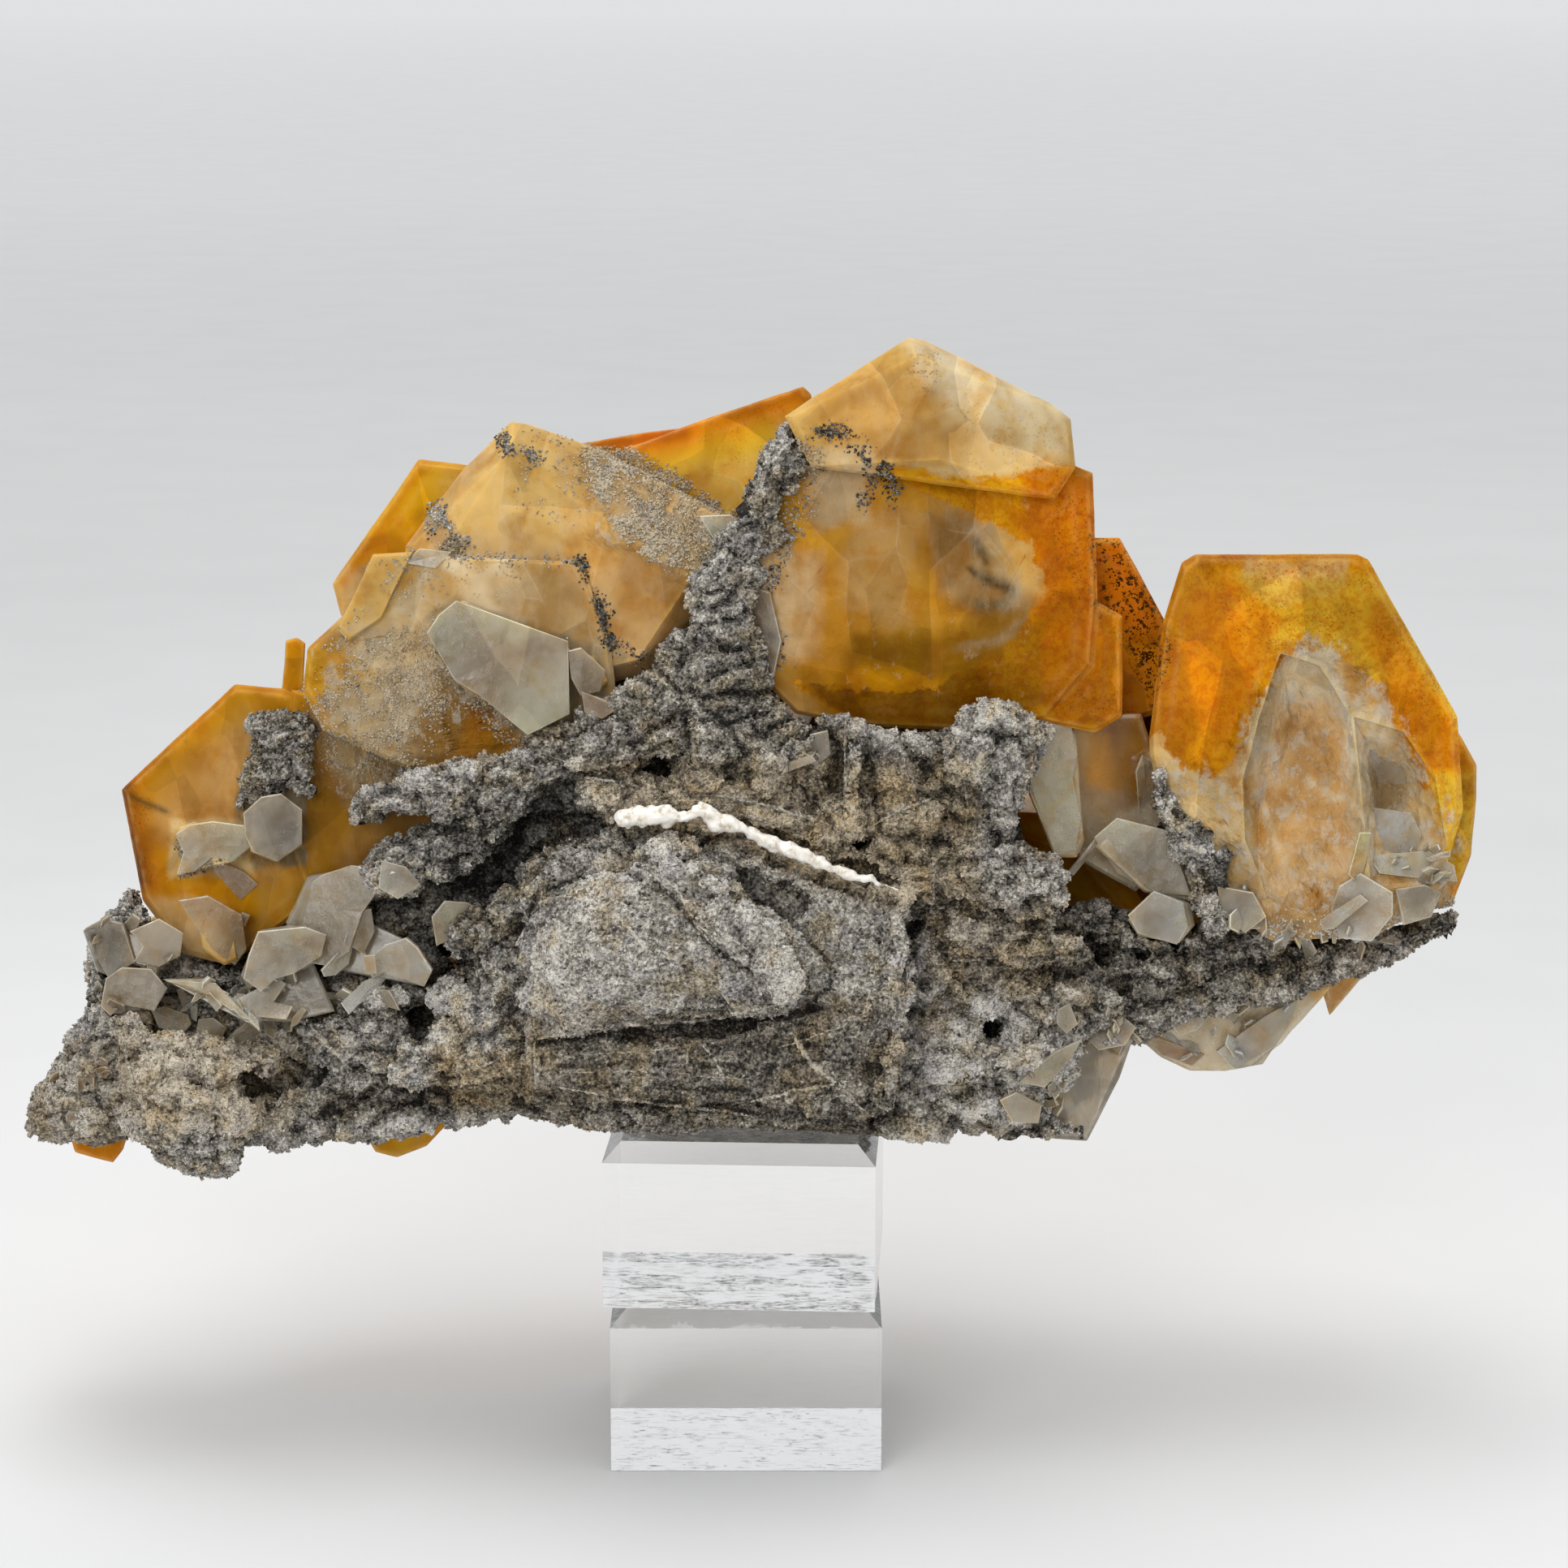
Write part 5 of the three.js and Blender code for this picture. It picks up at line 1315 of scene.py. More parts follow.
def calciteMaterial(name, throughShare, milkShare, gloss, shine, rim=(252, 206, 110), rimShare=0.4):
    # Calcite in its painted colours: drifting milky veils inside, cleavage streaks, growth lines
    # beside its edges, fine dark specks, and etched patches that are rougher and paler. Cells of
    # lighter and darker tone are painted reflections inside it, and the rim colour along its edges
    # is a painted highlight.
    material, tree, shader = shaderOf(name)
    paint = addNode(tree, "Attribute", {"attribute_name": "paint"}).outputs["Color"]
    drift = noiseOf(tree, 11, 2, 0.6, 0.4)
    streak = noiseOf(tree, 4.5, 4, 0.65, 0.25, stretch=(1.0, 1.0, 0.45))
    fine = noiseOf(tree, 0.9, 3, 0.6)
    etch = attributeOf(tree, "etch")
    deep = rampOf(
        tree,
        drift,
        [(0.34, colour(214, 200, 176)), (0.5, colour(240, 236, 228)), (0.66, colour(255, 255, 255))],
    )
    coat = addNode(tree, "Attribute", {"attribute_name": "coat"}).outputs["Color"]
    ragged = mathOf(tree, "MULTIPLY_ADD", noiseOf(tree, 3.6, 4, 0.68, 0.4), 0.8, -0.4)
    covered = rampOf(tree, mathOf(tree, "ADD", attributeOf(tree, "over"), ragged), [(0.47, 0.0), (0.55, 1.0)])
    shade = blended(tree, covered, paint, coat)
    shade = blended(tree, 1.0, shade, deep, "MULTIPLY")
    veil = rampOf(tree, streak, [(0.47, 0.0), (0.72, 1.0)])
    veil = timesOf(tree, veil, attributeOf(tree, "veil"))
    shade = blended(tree, timesOf(tree, veil, 0.38 + milkShare), shade, paints["milk"])
    smoke = rampOf(tree, noiseOf(tree, 8, 3, 0.7, 0.3), [(0.52, 0.0), (0.7, 0.5)])
    smoke = timesOf(tree, smoke, attributeOf(tree, "veil"))
    shade = tinted(tree, smoke, shade, colour(214, 206, 196))
    frosted = noiseOf(tree, 3.4, 5, 0.8, 0.1, stretch=(1.0, 1.0, 0.7))
    torn = mathOf(tree, "MULTIPLY_ADD", mathOf(tree, "SUBTRACT", etch, 1.0), 0.16, frosted)
    torn = rampOf(tree, torn, [(0.5, 0.0), (0.56, 0.62), (0.64, 0.8)])
    shade = blended(tree, timesOf(tree, etch, torn), shade, colour(214, 203, 186))
    warm = rampOf(tree, noiseOf(tree, 5, 2, 0.68), [(0.5, 0.0), (0.66, 0.6)])
    shade = tinted(tree, warm, shade, colour(244, 216, 150))
    # fine dark mottling where the second coat lies
    mottle = rampOf(tree, noiseOf(tree, 1.2, 3, 0.8), [(0.47, 0.0), (0.56, 0.55)])
    shade = tinted(tree, timesOf(tree, mottle, covered), shade, colour(232, 178, 96))
    # painted reflection: each cell's tone stands for inner reflections; thin milky lines run along the cell
    # borders
    for size, darkest, line in ((15, 214, 0.28), (6.5, 232, 0.18)):
        mapped = spaceOf(tree, size, (1.0, 1.0, 0.6), 0.12)
        reflectionCell, split = (
            addNode(tree, "TexVoronoi", {"feature": feature}, Vector=mapped, Scale=1.0)
            for feature in ("F1", "DISTANCE_TO_EDGE")
        )
        dark = colour(darkest, darkest, darkest)
        tone = rampOf(tree, reflectionCell.outputs["Color"], [(0.2, dark), (0.7, (1.0, 1.0, 1.0, 1.0))])
        shade = tinted(tree, 0.8, shade, tone)
        thin = rampOf(tree, split.outputs["Distance"], [(0.0, line), (0.02, 0.0)])
        kept = rampOf(tree, noiseOf(tree, 7, 1), [(0.48, 0.0), (0.6, 1.0)])
        thin = timesOf(tree, thin, kept, attributeOf(tree, "veil"))
        shade = blended(tree, thin, shade, paints["milk"])
    growth = rampOf(tree, drift, [(0.42, 0.0), (0.62, 0.16)])
    growth = timesOf(tree, attributeOf(tree, "growth"), growth)
    shade = blended(tree, growth, shade, blended(tree, 0.5, shade, colour(250, 222, 150)))
    dots = rampOf(tree, cellsOf(tree, 0.7), [(0.22, 1.0), (0.3, 0.0)])
    blots = rampOf(tree, noiseOf(tree, 1.1, 3, 0.75), [(0.54, 0.0), (0.58, 1.0)])
    dots = mathOf(tree, "MAXIMUM", dots, timesOf(tree, blots, attributeOf(tree, "speck")))
    where = rampOf(tree, noiseOf(tree, 5, 1), [(0.38, 0.15), (0.52, 1.0)])
    dark = timesOf(tree, dots, where, attributeOf(tree, "speck"), clamp=True)
    shade = blended(tree, dark, shade, colour(58, 24, 6))
    # painted highlight along the edges: the rim colour, by the edge share, broken up by noise
    edgeHighlightAmount = rampOf(tree, noiseOf(tree, 2.4, 1), [(0.4, 0.3 * rimShare), (0.6, rimShare)])
    edgeHighlightShade = blended(tree, 0.6, shade, colour(*rim))
    shade = blended(tree, timesOf(tree, attributeOf(tree, "edge"), edgeHighlightAmount), shade, edgeHighlightShade)
    rough = mathOf(tree, "MULTIPLY_ADD", fine, 0.2, gloss)
    rough = mathOf(tree, "ADD", rough, timesOf(tree, etch, 0.3))
    normal = bumpOf(tree, streak, 0.35, 0.35)
    normal = bumpOf(tree, fine, 0.08, 0.35, normal)
    normal = bumpOf(tree, timesOf(tree, frosted, etch), 1.4, 0.8, normal)
    normal = bumpOf(tree, timesOf(tree, cellsOf(tree, 2.4), etch), 0.9, 0.7, normal)
    setInput(
        tree,
        shader,
        BaseColor=shade,
        Roughness=rough,
        IOR=1.58,
        SpecularIORLevel=shine,
        SpecularTint=colour(255, 214, 120) if rimShare < 0.5 else (1.0, 1.0, 1.0, 1.0),
        SubsurfaceWeight=0.35,
        SubsurfaceRadius=(1.0, 0.75, 0.3),
        SubsurfaceScale=0.003,
        TransmissionWeight=throughShare,
        Normal=normal,
    )
    return material


amberCalcite = calciteMaterial("amberCalcite", 0.14, 0.0, 0.25, 0.14)
creamCalcite = calciteMaterial("creamCalcite", 0.4, 0.1, 0.15, 0.35, (244, 232, 206), 0.7)
paleCalcite = calciteMaterial("paleCalcite", 0.66, 0.25, 0.08, 0.5, (246, 242, 232), 0.9)
plateCalcite = calciteMaterial("plateCalcite", 0.6, 0.2, 0.06, 0.5, (240, 228, 208), 0.6)
rimCalcite = calciteMaterial("rimCalcite", 0.15, 0.2, 0.15, 0.5, (244, 238, 226), 0.5)

# Slot and material, then the nodes with their paints.
crystalPieces = (
    (
        "calcite_amber",
        amberCalcite,
        {
            "left_crystals": leftPaint,
            "peak_crystals": peakPaint,
            "right_crystal": rightPaint,
            "rear_left_crystals": rearPaint,
            "rear_middle_crystals": rearPaint,
            "rear_right_crystals": rearPaint,
        },
    ),
    ("calcite_pale", creamCalcite, {"pocket_crystals": pocketPaint, "underside_crystals": palePaint}),
    (
        "calcite_pale",
        paleCalcite,
        {"foot_crystal": palePaint, "left_shelf_crystals": palePaint, "left_end_crystals": palePaint},
    ),
)


def dressedCrystals(node, slot, material, paint):
    # The piece takes its node's name without the underscores.
    first, *others = node.split("_")
    name = first + "".join(word.capitalize() for word in others)
    points, faces, away = crystalSurface(node)
    shade, coat, values = crystalColours(points, faces, away, paint)
    piece = writeMesh(name, points, faces, values, smooth=True)
    paintOn(piece.data, shade)
    paintOn(piece.data, coat, "coat")
    piece.data.set_sharp_from_angle(angle=math.radians(crystals["angle"]))
    placed(piece, material, slot, node)
    report(f"{name}: {len(faces)} triangles")
    return points, faces


crystalMeshes = {
    node: dressedCrystals(node, slot, material, paint)
    for slot, material, nodes in crystalPieces
    for node, paint in nodes.items()
}


# Grains
def turnedAtRandom(random, count):
    # Rotation matrices from even random unit quaternions.
    q = random.normal(size=(count, 4))
    w, x, y, z = unit(q).T
    rows = [
        [1 - 2 * (y * y + z * z), 2 * (x * y - w * z), 2 * (x * z + w * y)],
        [2 * (x * y + w * z), 1 - 2 * (x * x + z * z), 2 * (y * z - w * x)],
        [2 * (x * z - w * y), 2 * (y * z + w * x), 1 - 2 * (x * x + y * y)],
    ]
    return np.array(rows).transpose(2, 0, 1)


def spotsOn(points, faces, weights, count, random):
    # Random places on a surface, as many on each face as its area times its weight asks.
    corner, across = points[faces[:, :3]], crossOf(points, faces)
    area = np.linalg.norm(across, axis=1)
    share = area * weights[faces].mean(1)
    chosen = random.choice(len(faces), count, p=share / share.sum())
    u, v = random.random((2, count))
    over = u + v > 1
    u, v = np.where(over, 1 - u, u), np.where(over, 1 - v, v)
    c = corner[chosen]
    places = c[:, 0] + u[:, None] * (c[:, 1] - c[:, 0]) + v[:, None] * (c[:, 2] - c[:, 0])
    return places, across[chosen] / np.maximum(area[chosen], 1e-12)[:, None], chosen


def grainField(name, places, normals, size, values, material, slot, seed, lift=0.2):
    # A grain at every place: the blunt shape, stretched and turned at random, and sunk in to its lift.
    random = np.random.default_rng(seed)
    count = len(places)
    turn = turnedAtRandom(random, count)
    stretch = size[:, None] * random.uniform(0.7, 1.3, (count, 3))
    corners = np.einsum("nij,nkj->nki", turn, grainCorners[None] * stretch[:, None])
    corners = corners + (places + normals * (lift * size)[:, None])[:, None]
    spread = {key: np.repeat(value, len(grainCorners)) for key, value in values.items()}
    made = writeMesh(name, *repeated(corners, sixCornerFaces), spread)
    placed(made, material, slot)


def wallsOf(points, faces):
    return BVHTree.FromPolygons(points.tolist(), faces.tolist())


crystalWalls = wallsOf(*joined(list(crystalMeshes.values())))


def outOfCrystals(places):
    # True where the nearest crystal wall faces the place, or is far away.
    found = [crystalWalls.find_nearest(place.tolist(), 6.0) for place in places]
    return np.array(
        [hit[0] is None or (Vector(place) - hit[0]).dot(hit[1]) > 0 for place, hit in zip(places, found)]
    )


grains = {"count": 96000, "size": (0.24, 0.8), "pieces": 4}


def rockGrains():
    random = np.random.default_rng(5)
    weights = 0.12 + stepUp(rockRelief, -0.5, 0.35)
    places, normals, chosen = spotsOn(rockPoints, rockFaces, weights, grains["count"], random)
    free = outOfCrystals(places + normals * 0.9)
    atRest = overBlock(places) & (places[:, 2] < rock["restHeight"] + 1.2)
    keep = free & ~atRest
    places, normals, chosen = places[keep], normals[keep], chosen[keep]
    small, large = grains["size"]
    size = small + (large - small) * random.beta(1.4, 2.2, len(places))
    # each grain takes the rock's values under it, among them relief and hollow with their painted light and
    # shade
    values = {key: value[rockFaces[chosen]].mean(1) for key, value in rockValues.items()}
    values["tone"] = random.normal(0.05, 0.07, len(places))
    order = np.argsort(places[:, 0])
    for k, part in enumerate(np.array_split(order, grains["pieces"])):
        some = {key: value[part] for key, value in values.items()}
        name = f"matrixGrains{k + 1}"
        grainField(name, places[part], normals[part], size[part], some, rockGrain, "matrix_rock", 50 + k)
    report(f"rock grains: {len(places)}")


rockGrains()

# Crusts on the crystals: fill or line, its course, edge or half width, how dense, size and tone.
crusts = (
    ("fill", "722 556,785 560,870 618,925 650,908 690,850 702,792 680,742 620", 10, 2.6, 0.5, 1.0),
    ("fill", "440 806,520 775,562 800,540 870,480 902,430 880", 16, 0.9, 0.4, 1.0),
    ("fill", "380 850,470 885,450 955,385 925", 14, 0.8, 0.4, 0.98),
    ("fill", "500 700,620 692,640 722,540 764,480 744", 16, 0.25, 0.35, 1.1),
    ("fill", "590 872,640 858,704 900,640 934", 14, 0.7, 0.4, 0.9),
    ("fill", "650 545,700 545,730 590,700 640,640 620", 16, 0.25, 0.4, 0.8),
    ("line", "714 690,735 735,753 793", 6, 2.2, 0.5, 0.2),
    ("line", "753 793,770 800,790 812", 6, 1.5, 0.45, 0.3),
    ("line", "538 632,552 668,570 676", 9, 2.4, 0.6, 0.55),
    ("line", "622 540,628 552", 7, 2.0, 0.5, 0.35),
    ("line", "652 555,660 568", 5, 2.0, 0.45, 0.4),
    ("line", "508 680,600 690,700 690", 5, 0.7, 0.4, 0.6),
    ("line", "1012 530,1060 545,1085 570,1100 612", 7, 1.8, 0.5, 0.22),
    ("line", "1058 545,1078 590,1064 622", 6, 1.4, 0.5, 0.3),
    ("line", "1040 530,1030 560", 6, 1.0, 0.45, 0.3),
    ("fill", "985 545,1010 560,1000 640,960 690,960 600", 12, 0.6, 0.5, 0.65),
    ("fill", "400 800,470 780,560 800,640 830,560 880,500 960,410 965", 16, 0.4, 0.42, 0.82),
    ("line", "560 820,620 815,700 800", 7, 0.5, 0.4, 0.8),
    ("fill", "220 1040,290 1030,300 1050,222 1078", 7, 1.6, 0.5, 0.6),
    ("line", "440 700,500 690,425 780", 5, 0.4, 0.35, 0.6),
    ("line", "1480 1115,1560 1140,1680 1150,1780 1120", 12, 0.8, 0.5, 0.85),
    ("line", "955 700,945 760,960 820", 8, 0.8, 0.5, 0.4),
)


crustLook = {"density": 10.0, "size": 0.6, "tone": 1.35, "beige": 0.75}


def crustGrains():
    random = np.random.default_rng(8)
    crusted = ("left_crystals", "peak_crystals", "right_crystal", "pocket_crystals")
    points, faces = joined([crystalMeshes[node] for node in crusted])
    normals = cornerNormals(points, faces)
    facing = stepUp(-(normals @ forward), -0.1, 0.2)
    spots = onPicture(points)
    area = 0.5 * np.linalg.norm(crossOf(points, faces), axis=1)
    ragged = stepUp(swell(points, 3.0, 95), -0.5, 0.3)
    results = []
    for kind, line, edge, density, size, tone in crusts:
        reached = patch(spots, line, edge) if kind == "fill" else stroke(spots, line, edge)
        weights = reached * facing * ragged
        count = int(crustLook["density"] * density * np.sum(area * weights[faces].mean(1)))
        if count < 3:
            continue
        places, outward, _ = spotsOn(points, faces, weights, count, random)
        sizes = crustLook["size"] * size * random.uniform(0.4, 1.4, count)
        tones = crustLook["tone"] * tone - rock["tone"] + random.normal(0, 0.12, count)
        warmth = np.full(count, crustLook["beige"] if kind == "fill" else 0.0)
        results.append((places, outward, sizes, tones, warmth))
    places, outward, sizes, tones, warmth = (np.concatenate(column) for column in zip(*results))
    free = outOfCrystals(places + outward * 0.3)
    values = {"tone": tones[free], "beige": warmth[free]}
    grainField("crystalCrust", places[free], outward[free], sizes[free], values, rockGrain, "matrix_rock", 60)
    report(f"crust grains: {free.sum()}")


crustGrains()


# White vein
# The vein as it is seen: place along the lid's edge and half thickness, in picture points.
veinLine = (
    (768, 1008, 9), (784, 1004, 12), (802, 1006, 11), (822, 1005, 11), (838, 1008, 6), (852, 1006, 8),
    (866, 999, 9), (884, 1004, 8), (874, 1014, 7), (896, 1014, 10), (912, 1020, 10), (930, 1029, 9),
    (948, 1037, 10), (966, 1046, 8), (984, 1052, 10), (1002, 1060, 9), (1018, 1067, 6),
    (1036, 1074, 8), (1054, 1080, 6), (1072, 1085, 5), (1090, 1091, 4), (1110, 1096, 4),
)
vein = {
    "net": 0.42,
    "thin": 0.84,  # share of the half thickness that is drawn
    "lump": 0.42,
    "lumpSize": 1.2,
    "step": 1.1,  # millimetres from one lump to the next
    "behind": 1.3,  # how far behind the CAD vein's front the lumps' middles lie
    "beside": 90,  # how many smaller lumps lie beside the line
}


def whiteVein():
    # Round lumps of its thickness along the drawn line, joined by a voxel net and roughened. Their
    # depth is the CAD vein's front at the same place across.
    cadPoints, _ = joinedTriangles("white_vein")
    cadSpots = onPicture(cadPoints)
    line = np.array(veinLine, float)
    along = lengthAlong(line)
    steps = np.arange(0, along[-1], vein["step"] / view["point"])
    random = np.random.default_rng(12)
    across, up, half = (np.interp(steps, along, line[:, k]) for k in range(3))
    up = up + random.normal(0, 1.2, len(up))
    depths = [cadPoints[np.argsort(np.abs(cadSpots[:, 0] - x))[:24], 1].min() for x in across]
    depths = np.convolve(np.pad(depths, 4, "edge"), np.ones(9) / 9, "valid")
    middles = carried(np.stack([across, up], -1), depths + vein["behind"])
    radii = vein["thin"] * half * view["point"] * random.uniform(0.75, 1.3, len(half))
    # small lumps beside the line
    beside = random.integers(0, len(middles), vein["beside"])
    away = unit(random.normal(0, 1, (vein["beside"], 3)) * [1.0, 0.3, 1.0])
    middles = np.concatenate([middles, middles[beside] + 1.05 * radii[beside, None] * away])
    radii = np.concatenate([radii, radii[beside] * random.uniform(0.25, 0.6, vein["beside"])])
    turn = turnedAtRandom(random, len(middles))
    ball, ballFaces = ballShape(2)
    stretch = radii[:, None] * random.uniform(0.7, 1.25, (len(radii), 3))
    corners = np.einsum("nij,nkj->nki", turn, ball[None] * stretch[:, None]) + middles[:, None]
    points, faces = remeshed(*repeated(corners, ballFaces), vein["net"])
    points = relaxed(points, faces, 0.5, 2)
    near, _, _ = cells(points, vein["lumpSize"], 21)
    height = vein["lump"] * (0.5 - near) + 0.2 * octaves(points, 1.4, 22, 2)
    points = points + cornerNormals(points, faces) * height[:, None]
    made = writeMesh("whiteVein", points, faces, smooth=True)
    material, tree, shader = shaderOf("whiteCalcite")
    mottle = noiseOf(tree, 1.6, 4, 0.65)
    shade = rampOf(
        tree,
        mottle,
        [(0.34, colour(196, 184, 164)), (0.46, colour(236, 229, 217)), (0.62, colour(251, 248, 242))],
    )
    setInput(
        tree,
        shader,
        BaseColor=shade,
        Roughness=rampOf(tree, noiseOf(tree, 0.8, 3), [(0.35, 0.28), (0.7, 0.55)]),
        SubsurfaceWeight=0.25,
        SubsurfaceRadius=(1.0, 0.9, 0.8),
        SubsurfaceScale=0.001,
        Normal=bumpOf(tree, noiseOf(tree, 0.6, 3), 0.15, 0.7),
    )
    placed(made, material, "calcite_white", "white_vein")


def ballShape(rounds):
    # An octahedron whose triangles are split in four and pushed out to a ball, as often as asked.
    points = np.array([(1, 0, 0), (-1, 0, 0), (0, 1, 0), (0, -1, 0), (0, 0, 1), (0, 0, -1)], float)
    faces = sixCornerFaces
    for _ in range(rounds):
        corner = points[faces]
        middles = (corner + np.roll(corner, -1, axis=1)) / 2
        loose = np.concatenate([points, middles.reshape(-1, 3)])
        p, q, r = (len(points) + 3 * np.arange(len(faces)) + k for k in range(3))
        a, b, c = faces.T
        faces = np.concatenate([np.stack(trio, -1) for trio in ((a, p, r), (p, b, q), (r, q, c), (p, q, r))])
        points = unit(loose)
    return points, faces


# Veinlets in the rock
# Thin pale seams that stand out of the rock: line as seen, half width in picture points, tone.
veinlets = (
    ("807 1068,835 1100,858 1138,883 1170", 2.4, 0.9),
    ("845 1122,870 1145,905 1158,938 1182", 1.6, 0.75),
    ("752 1120,775 1145,798 1174", 2.0, 0.85),
    ("885 1200,893 1220,906 1242", 2.4, 0.95),
    ("866 1288,878 1305,890 1325", 2.2, 0.85),
    ("974 1272,990 1295,1010 1316,1038 1338", 3.6, 0.85),
    ("1042 885,1040 950,1039 1024", 2.4, 0.75),
    ("838 980,880 981,930 990,968 1003,1005 1011,1040 1027", 2.6, 0.75),
    ("850 988,900 997,950 1014,995 1034", 2.2, 0.6),
    ("1060 1026,1100 1000,1148 984", 2.0, 0.75),
    ("1085 950,1120 960,1160 975", 1.6, 0.55),
    ("662 1112,700 1104,745 1088,812 1068", 3.0, 0.7),
    ("662 1280,720 1266,800 1252,850 1246,960 1238", 3.2, 0.7),
    ("668 1098,663 1160,658 1230,660 1336", 2.4, 0.7),
    ("662 1250,700 1246,735 1240", 1.8, 0.6),
    ("1112 1112,1116 1150,1104 1200,1088 1250,1062 1300", 1.4, 0.5),
    ("1148 1132,1124 1168,1112 1230,1096 1300,1072 1368", 1.6, 0.5),
    ("1126 1180,1110 1260,1084 1340", 1.6, 0.6),
    ("690 1340,760 1350,830 1362,930 1376", 2.2, 0.6),
    ("925 1358,980 1342,1044 1332", 2.4, 0.7),
    ("985 1350,1040 1346,1070 1372", 1.6, 0.6),
    ("1168 1184,1230 1181,1290 1170,1345 1162", 2.2, 0.5),
    ("1160 1196,1250 1192,1330 1178", 1.8, 0.4),
    ("382 1262,402 1290,434 1318", 3.6, 0.75),
    ("345 1300,352 1340,330 1372,298 1394", 2.4, 0.65),
    ("160 1254,200 1268,250 1284,300 1294,348 1299", 2.4, 0.8),
    ("158 1260,154 1300,168 1345,210 1358", 2.0, 0.6),
    ("172 1344,222 1352,262 1368,300 1392", 2.0, 0.6),
    ("1222 1288,1262 1290,1312 1300", 2.0, 0.6),
    ("1186 940,1190 990,1186 1040", 1.8, 0.5),
    ("1150 1060,1148 1110,1136 1160", 2.0, 0.6),
    ("640 1290,600 1310,560 1320", 1.8, 0.6),
    ("700 940,660 925,640 910", 1.6, 0.5),
    ("720 958,760 966,806 976", 2.2, 0.8),
    ("1052 1120,1070 1160,1062 1210,1040 1270", 1.2, 0.6),
    ("1084 1110,1092 1150,1080 1210,1056 1280", 1.2, 0.55),
    ("960 1290,1000 1280,1040 1262,1080 1236", 1.4, 0.6),
    ("720 1300,790 1296,860 1290", 1.4, 0.6),
    ("700 1322,780 1318,860 1322,930 1330", 1.4, 0.55),
    ("830 1270,850 1290,846 1316", 1.4, 0.65),
    ("700 1180,730 1160,760 1158", 1.4, 0.6),
    ("820 1210,860 1222,900 1216", 1.4, 0.6),
    ("930 1130,952 1150,958 1180", 1.6, 0.65),
    ("1168 1150,1220 1146,1280 1150", 1.6, 0.5),
)
veinletLook = {"wider": 1.2, "paler": 0.2, "beige": 0.25, "sides": 5}
rockWalls = wallsOf(rockPoints, rockFaces)


def sightLines(picturePoints):
    flat = acrossUp(picturePoints)
    rays = view["distance"] * forward + flat[:, :1] * [1.0, 0.0, 0.0] + flat[:, 1:] * upward
    return unit(rays)


def reachedAlong(rays, walls):
    # How far along each line of sight the first of the walls lies, or none.
    reaches = []
    for ray in rays:
        hits = [wall.ray_cast(eye.tolist(), ray.tolist())[3] for wall in walls]
        reaches.append(min((hit for hit in hits if hit is not None), default=np.nan))
    return np.array(reaches)


def rockVeinlets():
    # Each seam is a thin five-sided tube that lies half sunk along the rock, with an uneven width.
    random = np.random.default_rng(14)
    sides, meshes, tones = veinletLook["sides"], [], []
    for line, half, tone in veinlets:
        line = traced(line)
        half, tone = veinletLook["wider"] * half, tone + veinletLook["paler"]
        along = lengthAlong(line)
        steps = np.linspace(0, along[-1], max(4, int(along[-1] / 3)))
        spots = np.stack([np.interp(steps, along, line[:, k]) for k in range(2)], -1)
        sway = np.sin(np.linspace(0, math.pi, len(spots)))[:, None]
        spots += np.cumsum(random.normal(0, 0.5, spots.shape), 0) * sway
        rays = sightLines(spots)
        reach = reachedAlong(rays, [rockWalls])
        known = ~np.isnan(reach)
        if known.sum() < 4:
            continue
        rays, reach = rays[known], reach[known]
        evened = np.convolve(np.pad(reach, 1, "edge"), np.ones(3) / 3, "valid")
        middles = eye + rays * np.minimum(reach, evened)[:, None]
        run = unit(np.gradient(middles, axis=0))
        across = unit(np.cross(run, rays))
        towards = np.cross(across, run)
        width = half * view["point"] * random.uniform(0.5, 1.3, len(middles))
        width *= np.sin(np.linspace(0.15, math.pi - 0.15, len(middles))) ** 0.4
        around = np.linspace(0, 2 * math.pi, sides, endpoint=False)
        ring = across[:, None] * np.cos(around)[:, None] + 0.8 * towards[:, None] * np.sin(around)[:, None]
        points = middles[:, None] + ring * width[:, None, None]
        at, side = np.meshgrid(np.arange(len(middles) - 1) * sides, np.arange(sides), indexing="ij")
        after = (side + 1) % sides
        faces = np.stack([at + side, at + after, at + after + sides, at + side + sides], -1)
        meshes.append((points.reshape(-1, 3), faces.reshape(-1, 4)))
        tones.append(tone - rock["tone"] + np.repeat(random.normal(0, 0.08, len(middles)), sides))
    points, faces = joined(meshes)
    tones = np.concatenate(tones)
    values = {"tone": tones, "beige": np.full(len(points), veinletLook["beige"])}
    made = writeMesh("rockVeinlets", points, faces, values, smooth=True)
    placed(made, rockGrain, "matrix_rock")
    report(f"veinlets: {len(faces)} faces")


